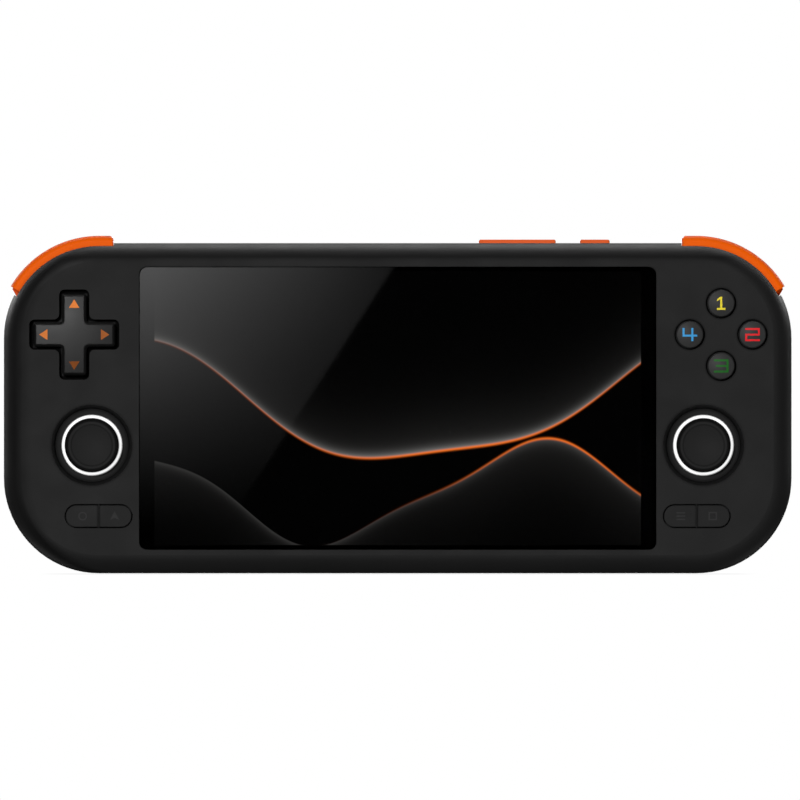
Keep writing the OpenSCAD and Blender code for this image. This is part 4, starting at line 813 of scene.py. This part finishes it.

# marks: an arrow on each arm of the direction pad, the lower and right ones dimmer, as painted shade in
# darker copies of one orange ink

padArrows = {
    "wide": 2.95, "tall": 2.3, "reach": 8.45, "round": (0.15, 3), "proud": 0.04, "sunk": 0.3,
    "inks": {
        "up": (230, 128, 54),
        "left": (214, 120, 52),
        "down": (122, 64, 20),
        "right": (158, 88, 40),
    },
}
for quarter, (way, colour) in enumerate(padArrows["inks"].items()):
    half, low = padArrows["wide"] / 2, padArrows["reach"] - padArrows["tall"] / 2
    bm = drawn([(-half, low), (half, low), (0, low + padArrows["tall"])])
    roundCorners(bm, *padArrows["round"])
    turn = Matrix.Rotation(quarter * math.pi / 2, 3, "Z")
    bmesh.ops.rotate(bm, cent=(0, 0, 0), matrix=turn, verts=bm.verts)
    thicken(bm, -padArrows["sunk"], padArrows["proud"])
    dome(bm, faceBox("dpad")[1].z, padShape["crown"])
    arrowInkPaintedShade = printedMark("arrowInkPaintedShade_" + way, colour)
    standAt("arrow_" + way, bm, (padMiddle.x, padMiddle.y, 0), arrowInkPaintedShade, "dpad")

# marks: a small plain sign on each menu button

menuSigns = {
    "proud": 0.03, "sunk": 0.2, "apart": 4.37, "colour": (40, 40, 40), "line": 0.36, "half": 1.2,
    "ringSides": 24, "barStep": 2.5, "square": 2.28,
    "arrow": [(-1.1, -0.9), (0, -0.4), (1.1, -0.9), (0, 1.1)],
}
signInk = printedMark("menuSign", menuSigns["colour"])


def ringSign():
    return flatRing(menuSigns["half"], menuSigns["half"] - menuSigns["line"], menuSigns["ringSides"])


def barsSign():
    bm = bmesh.new()
    for step in (-1, 0, 1):
        made = addRectangle(bm, 2 * menuSigns["half"], menuSigns["line"])
        bmesh.ops.translate(bm, vec=(0, step * menuSigns["barStep"] * menuSigns["line"], 0), verts=made)
    return bm


def arrowSign():
    return drawn([(x * menuSigns["half"], y * menuSigns["half"]) for x, y in menuSigns["arrow"]])


def squareSign():
    bm = bmesh.new()
    addRectangle(bm, menuSigns["square"], menuSigns["square"])
    bmesh.ops.inset_region(bm, faces=list(bm.faces), thickness=menuSigns["line"], use_boundary=True,
                           use_even_offset=True)
    middle = min(bm.faces, key=lambda f: f.calc_center_median().length)
    bmesh.ops.delete(bm, geom=[middle], context="FACES")
    return bm


for side, signs in (("left", {"outer": ringSign, "inner": arrowSign}),
                    ("right", {"inner": barsSign, "outer": squareSign})):
    low, high = menuBox(side)
    split = (low.x + high.x) / 2
    for place, sign in signs.items():
        button = f"{side}_menu_button_{place}"
        bm = sign()
        thicken(bm, -menuSigns["sunk"], menuSigns["proud"])
        middle, top = faceMiddle(button), faceBox(button)[1].z
        away = menuSigns["apart"] if middle.x > split else -menuSigns["apart"]
        standAt("sign_" + button, bm, (split + away, middle.y, top), signInk, button)
print("marks on the buttons")

# a thin rib of the shell in the slot between each two menu buttons

menuRib = {"wide": 0.34, "below": (1.1, 0.12), "past": 0.3}
for side in sides:
    low, high = menuBox(side)
    middle = (low + high) / 2
    bm = bmesh.new()
    addRectangle(bm, menuRib["wide"], high.y - low.y - 2 * wells["flange"] + 2 * menuRib["past"])
    thicken(bm, *(faceZ - drop for drop in menuRib["below"]))
    standAt(side + "_menu_rib", bm, (middle.x, middle.y, 0), ribBlack, "housing")
print("ribs between the menu buttons")

# a skirt round each face button, which closes its gap against dust

skirt = {"outer": 3.88, "inner": 3.55, "sides": 64, "below": (0.9, 0.35)}
for button in faceButtons:
    bm = flatRing(skirt["outer"], skirt["inner"], skirt["sides"])
    thicken(bm, *(faceZ - drop for drop in skirt["below"]))
    middle = faceMiddle(button)
    standAt("skirt_" + button, bm, (middle.x, middle.y, 0), skirtBlack, button)
print("skirts round the face buttons")

# a lip on the flat inner end of each shoulder button, which narrows its gap to the shell

shoulderLip = {"end": 78.0, "thick": 0.35, "near": 0.01, "merge": 0.001}
for side, inward in (("left", 1), ("right", -1)):
    bm = bmesh.new()
    bm.from_mesh(nodes[side + "_shoulder_button"].data)
    bmesh.ops.remove_doubles(bm, verts=bm.verts, dist=shoulderLip["merge"] * mm)
    end = -inward * shoulderLip["end"] * mm
    others = [f for f in bm.faces if any(abs(v.co.x - end) > shoulderLip["near"] * mm for v in f.verts)]
    bmesh.ops.delete(bm, geom=others, context="FACES")
    pull(bm, (inward * shoulderLip["thick"] * mm, 0, 0))
    # the lip takes the darker orange, painted shade
    newMesh(side + "_shoulder_lip", bm, paintedShadeOrange, side + "_shoulder")
print("lips on the shoulder buttons")

# a cross in the head of each case screw, in near-black as painted shade of a recess

screwCross = {"reach": 1.15, "half": 0.26, "deep": 0.3, "proud": 0.015, "near": 0.1}
screws = nodes["case_screws"]
places = [screws.matrix_world @ v.co for v in screws.data.vertices]
back = max(p.y for p in places)
heads = [p for p in places if p.y > back - screwCross["near"] * mm]
centre = sum(heads, Vector()) / len(heads)
half, reach = screwCross["half"], screwCross["reach"]
arm = [(half, half), (half, reach), (-half, reach)]
cross = arm + [(-y, x) for x, y in arm] + [(-x, -y) for x, y in arm] + [(y, -x) for x, y in arm]
for level, row in (("low", -1), ("high", 1)):
    for side, column in (("left", -1), ("right", 1)):
        head = [p for p in heads if (p.x - centre.x) * column > 0 and (p.z - centre.z) * row > 0]
        middle = sum(head, Vector()) / len(head) / mm
        bm = drawn(cross)
        thicken(bm, -back / mm - screwCross["proud"], -back / mm + screwCross["deep"])
        standAt(f"screw_cross_{level}_{side}", bm, (middle.x, middle.z, 0), paintedRecessShade, "housing")
print("crosses in the case screws")
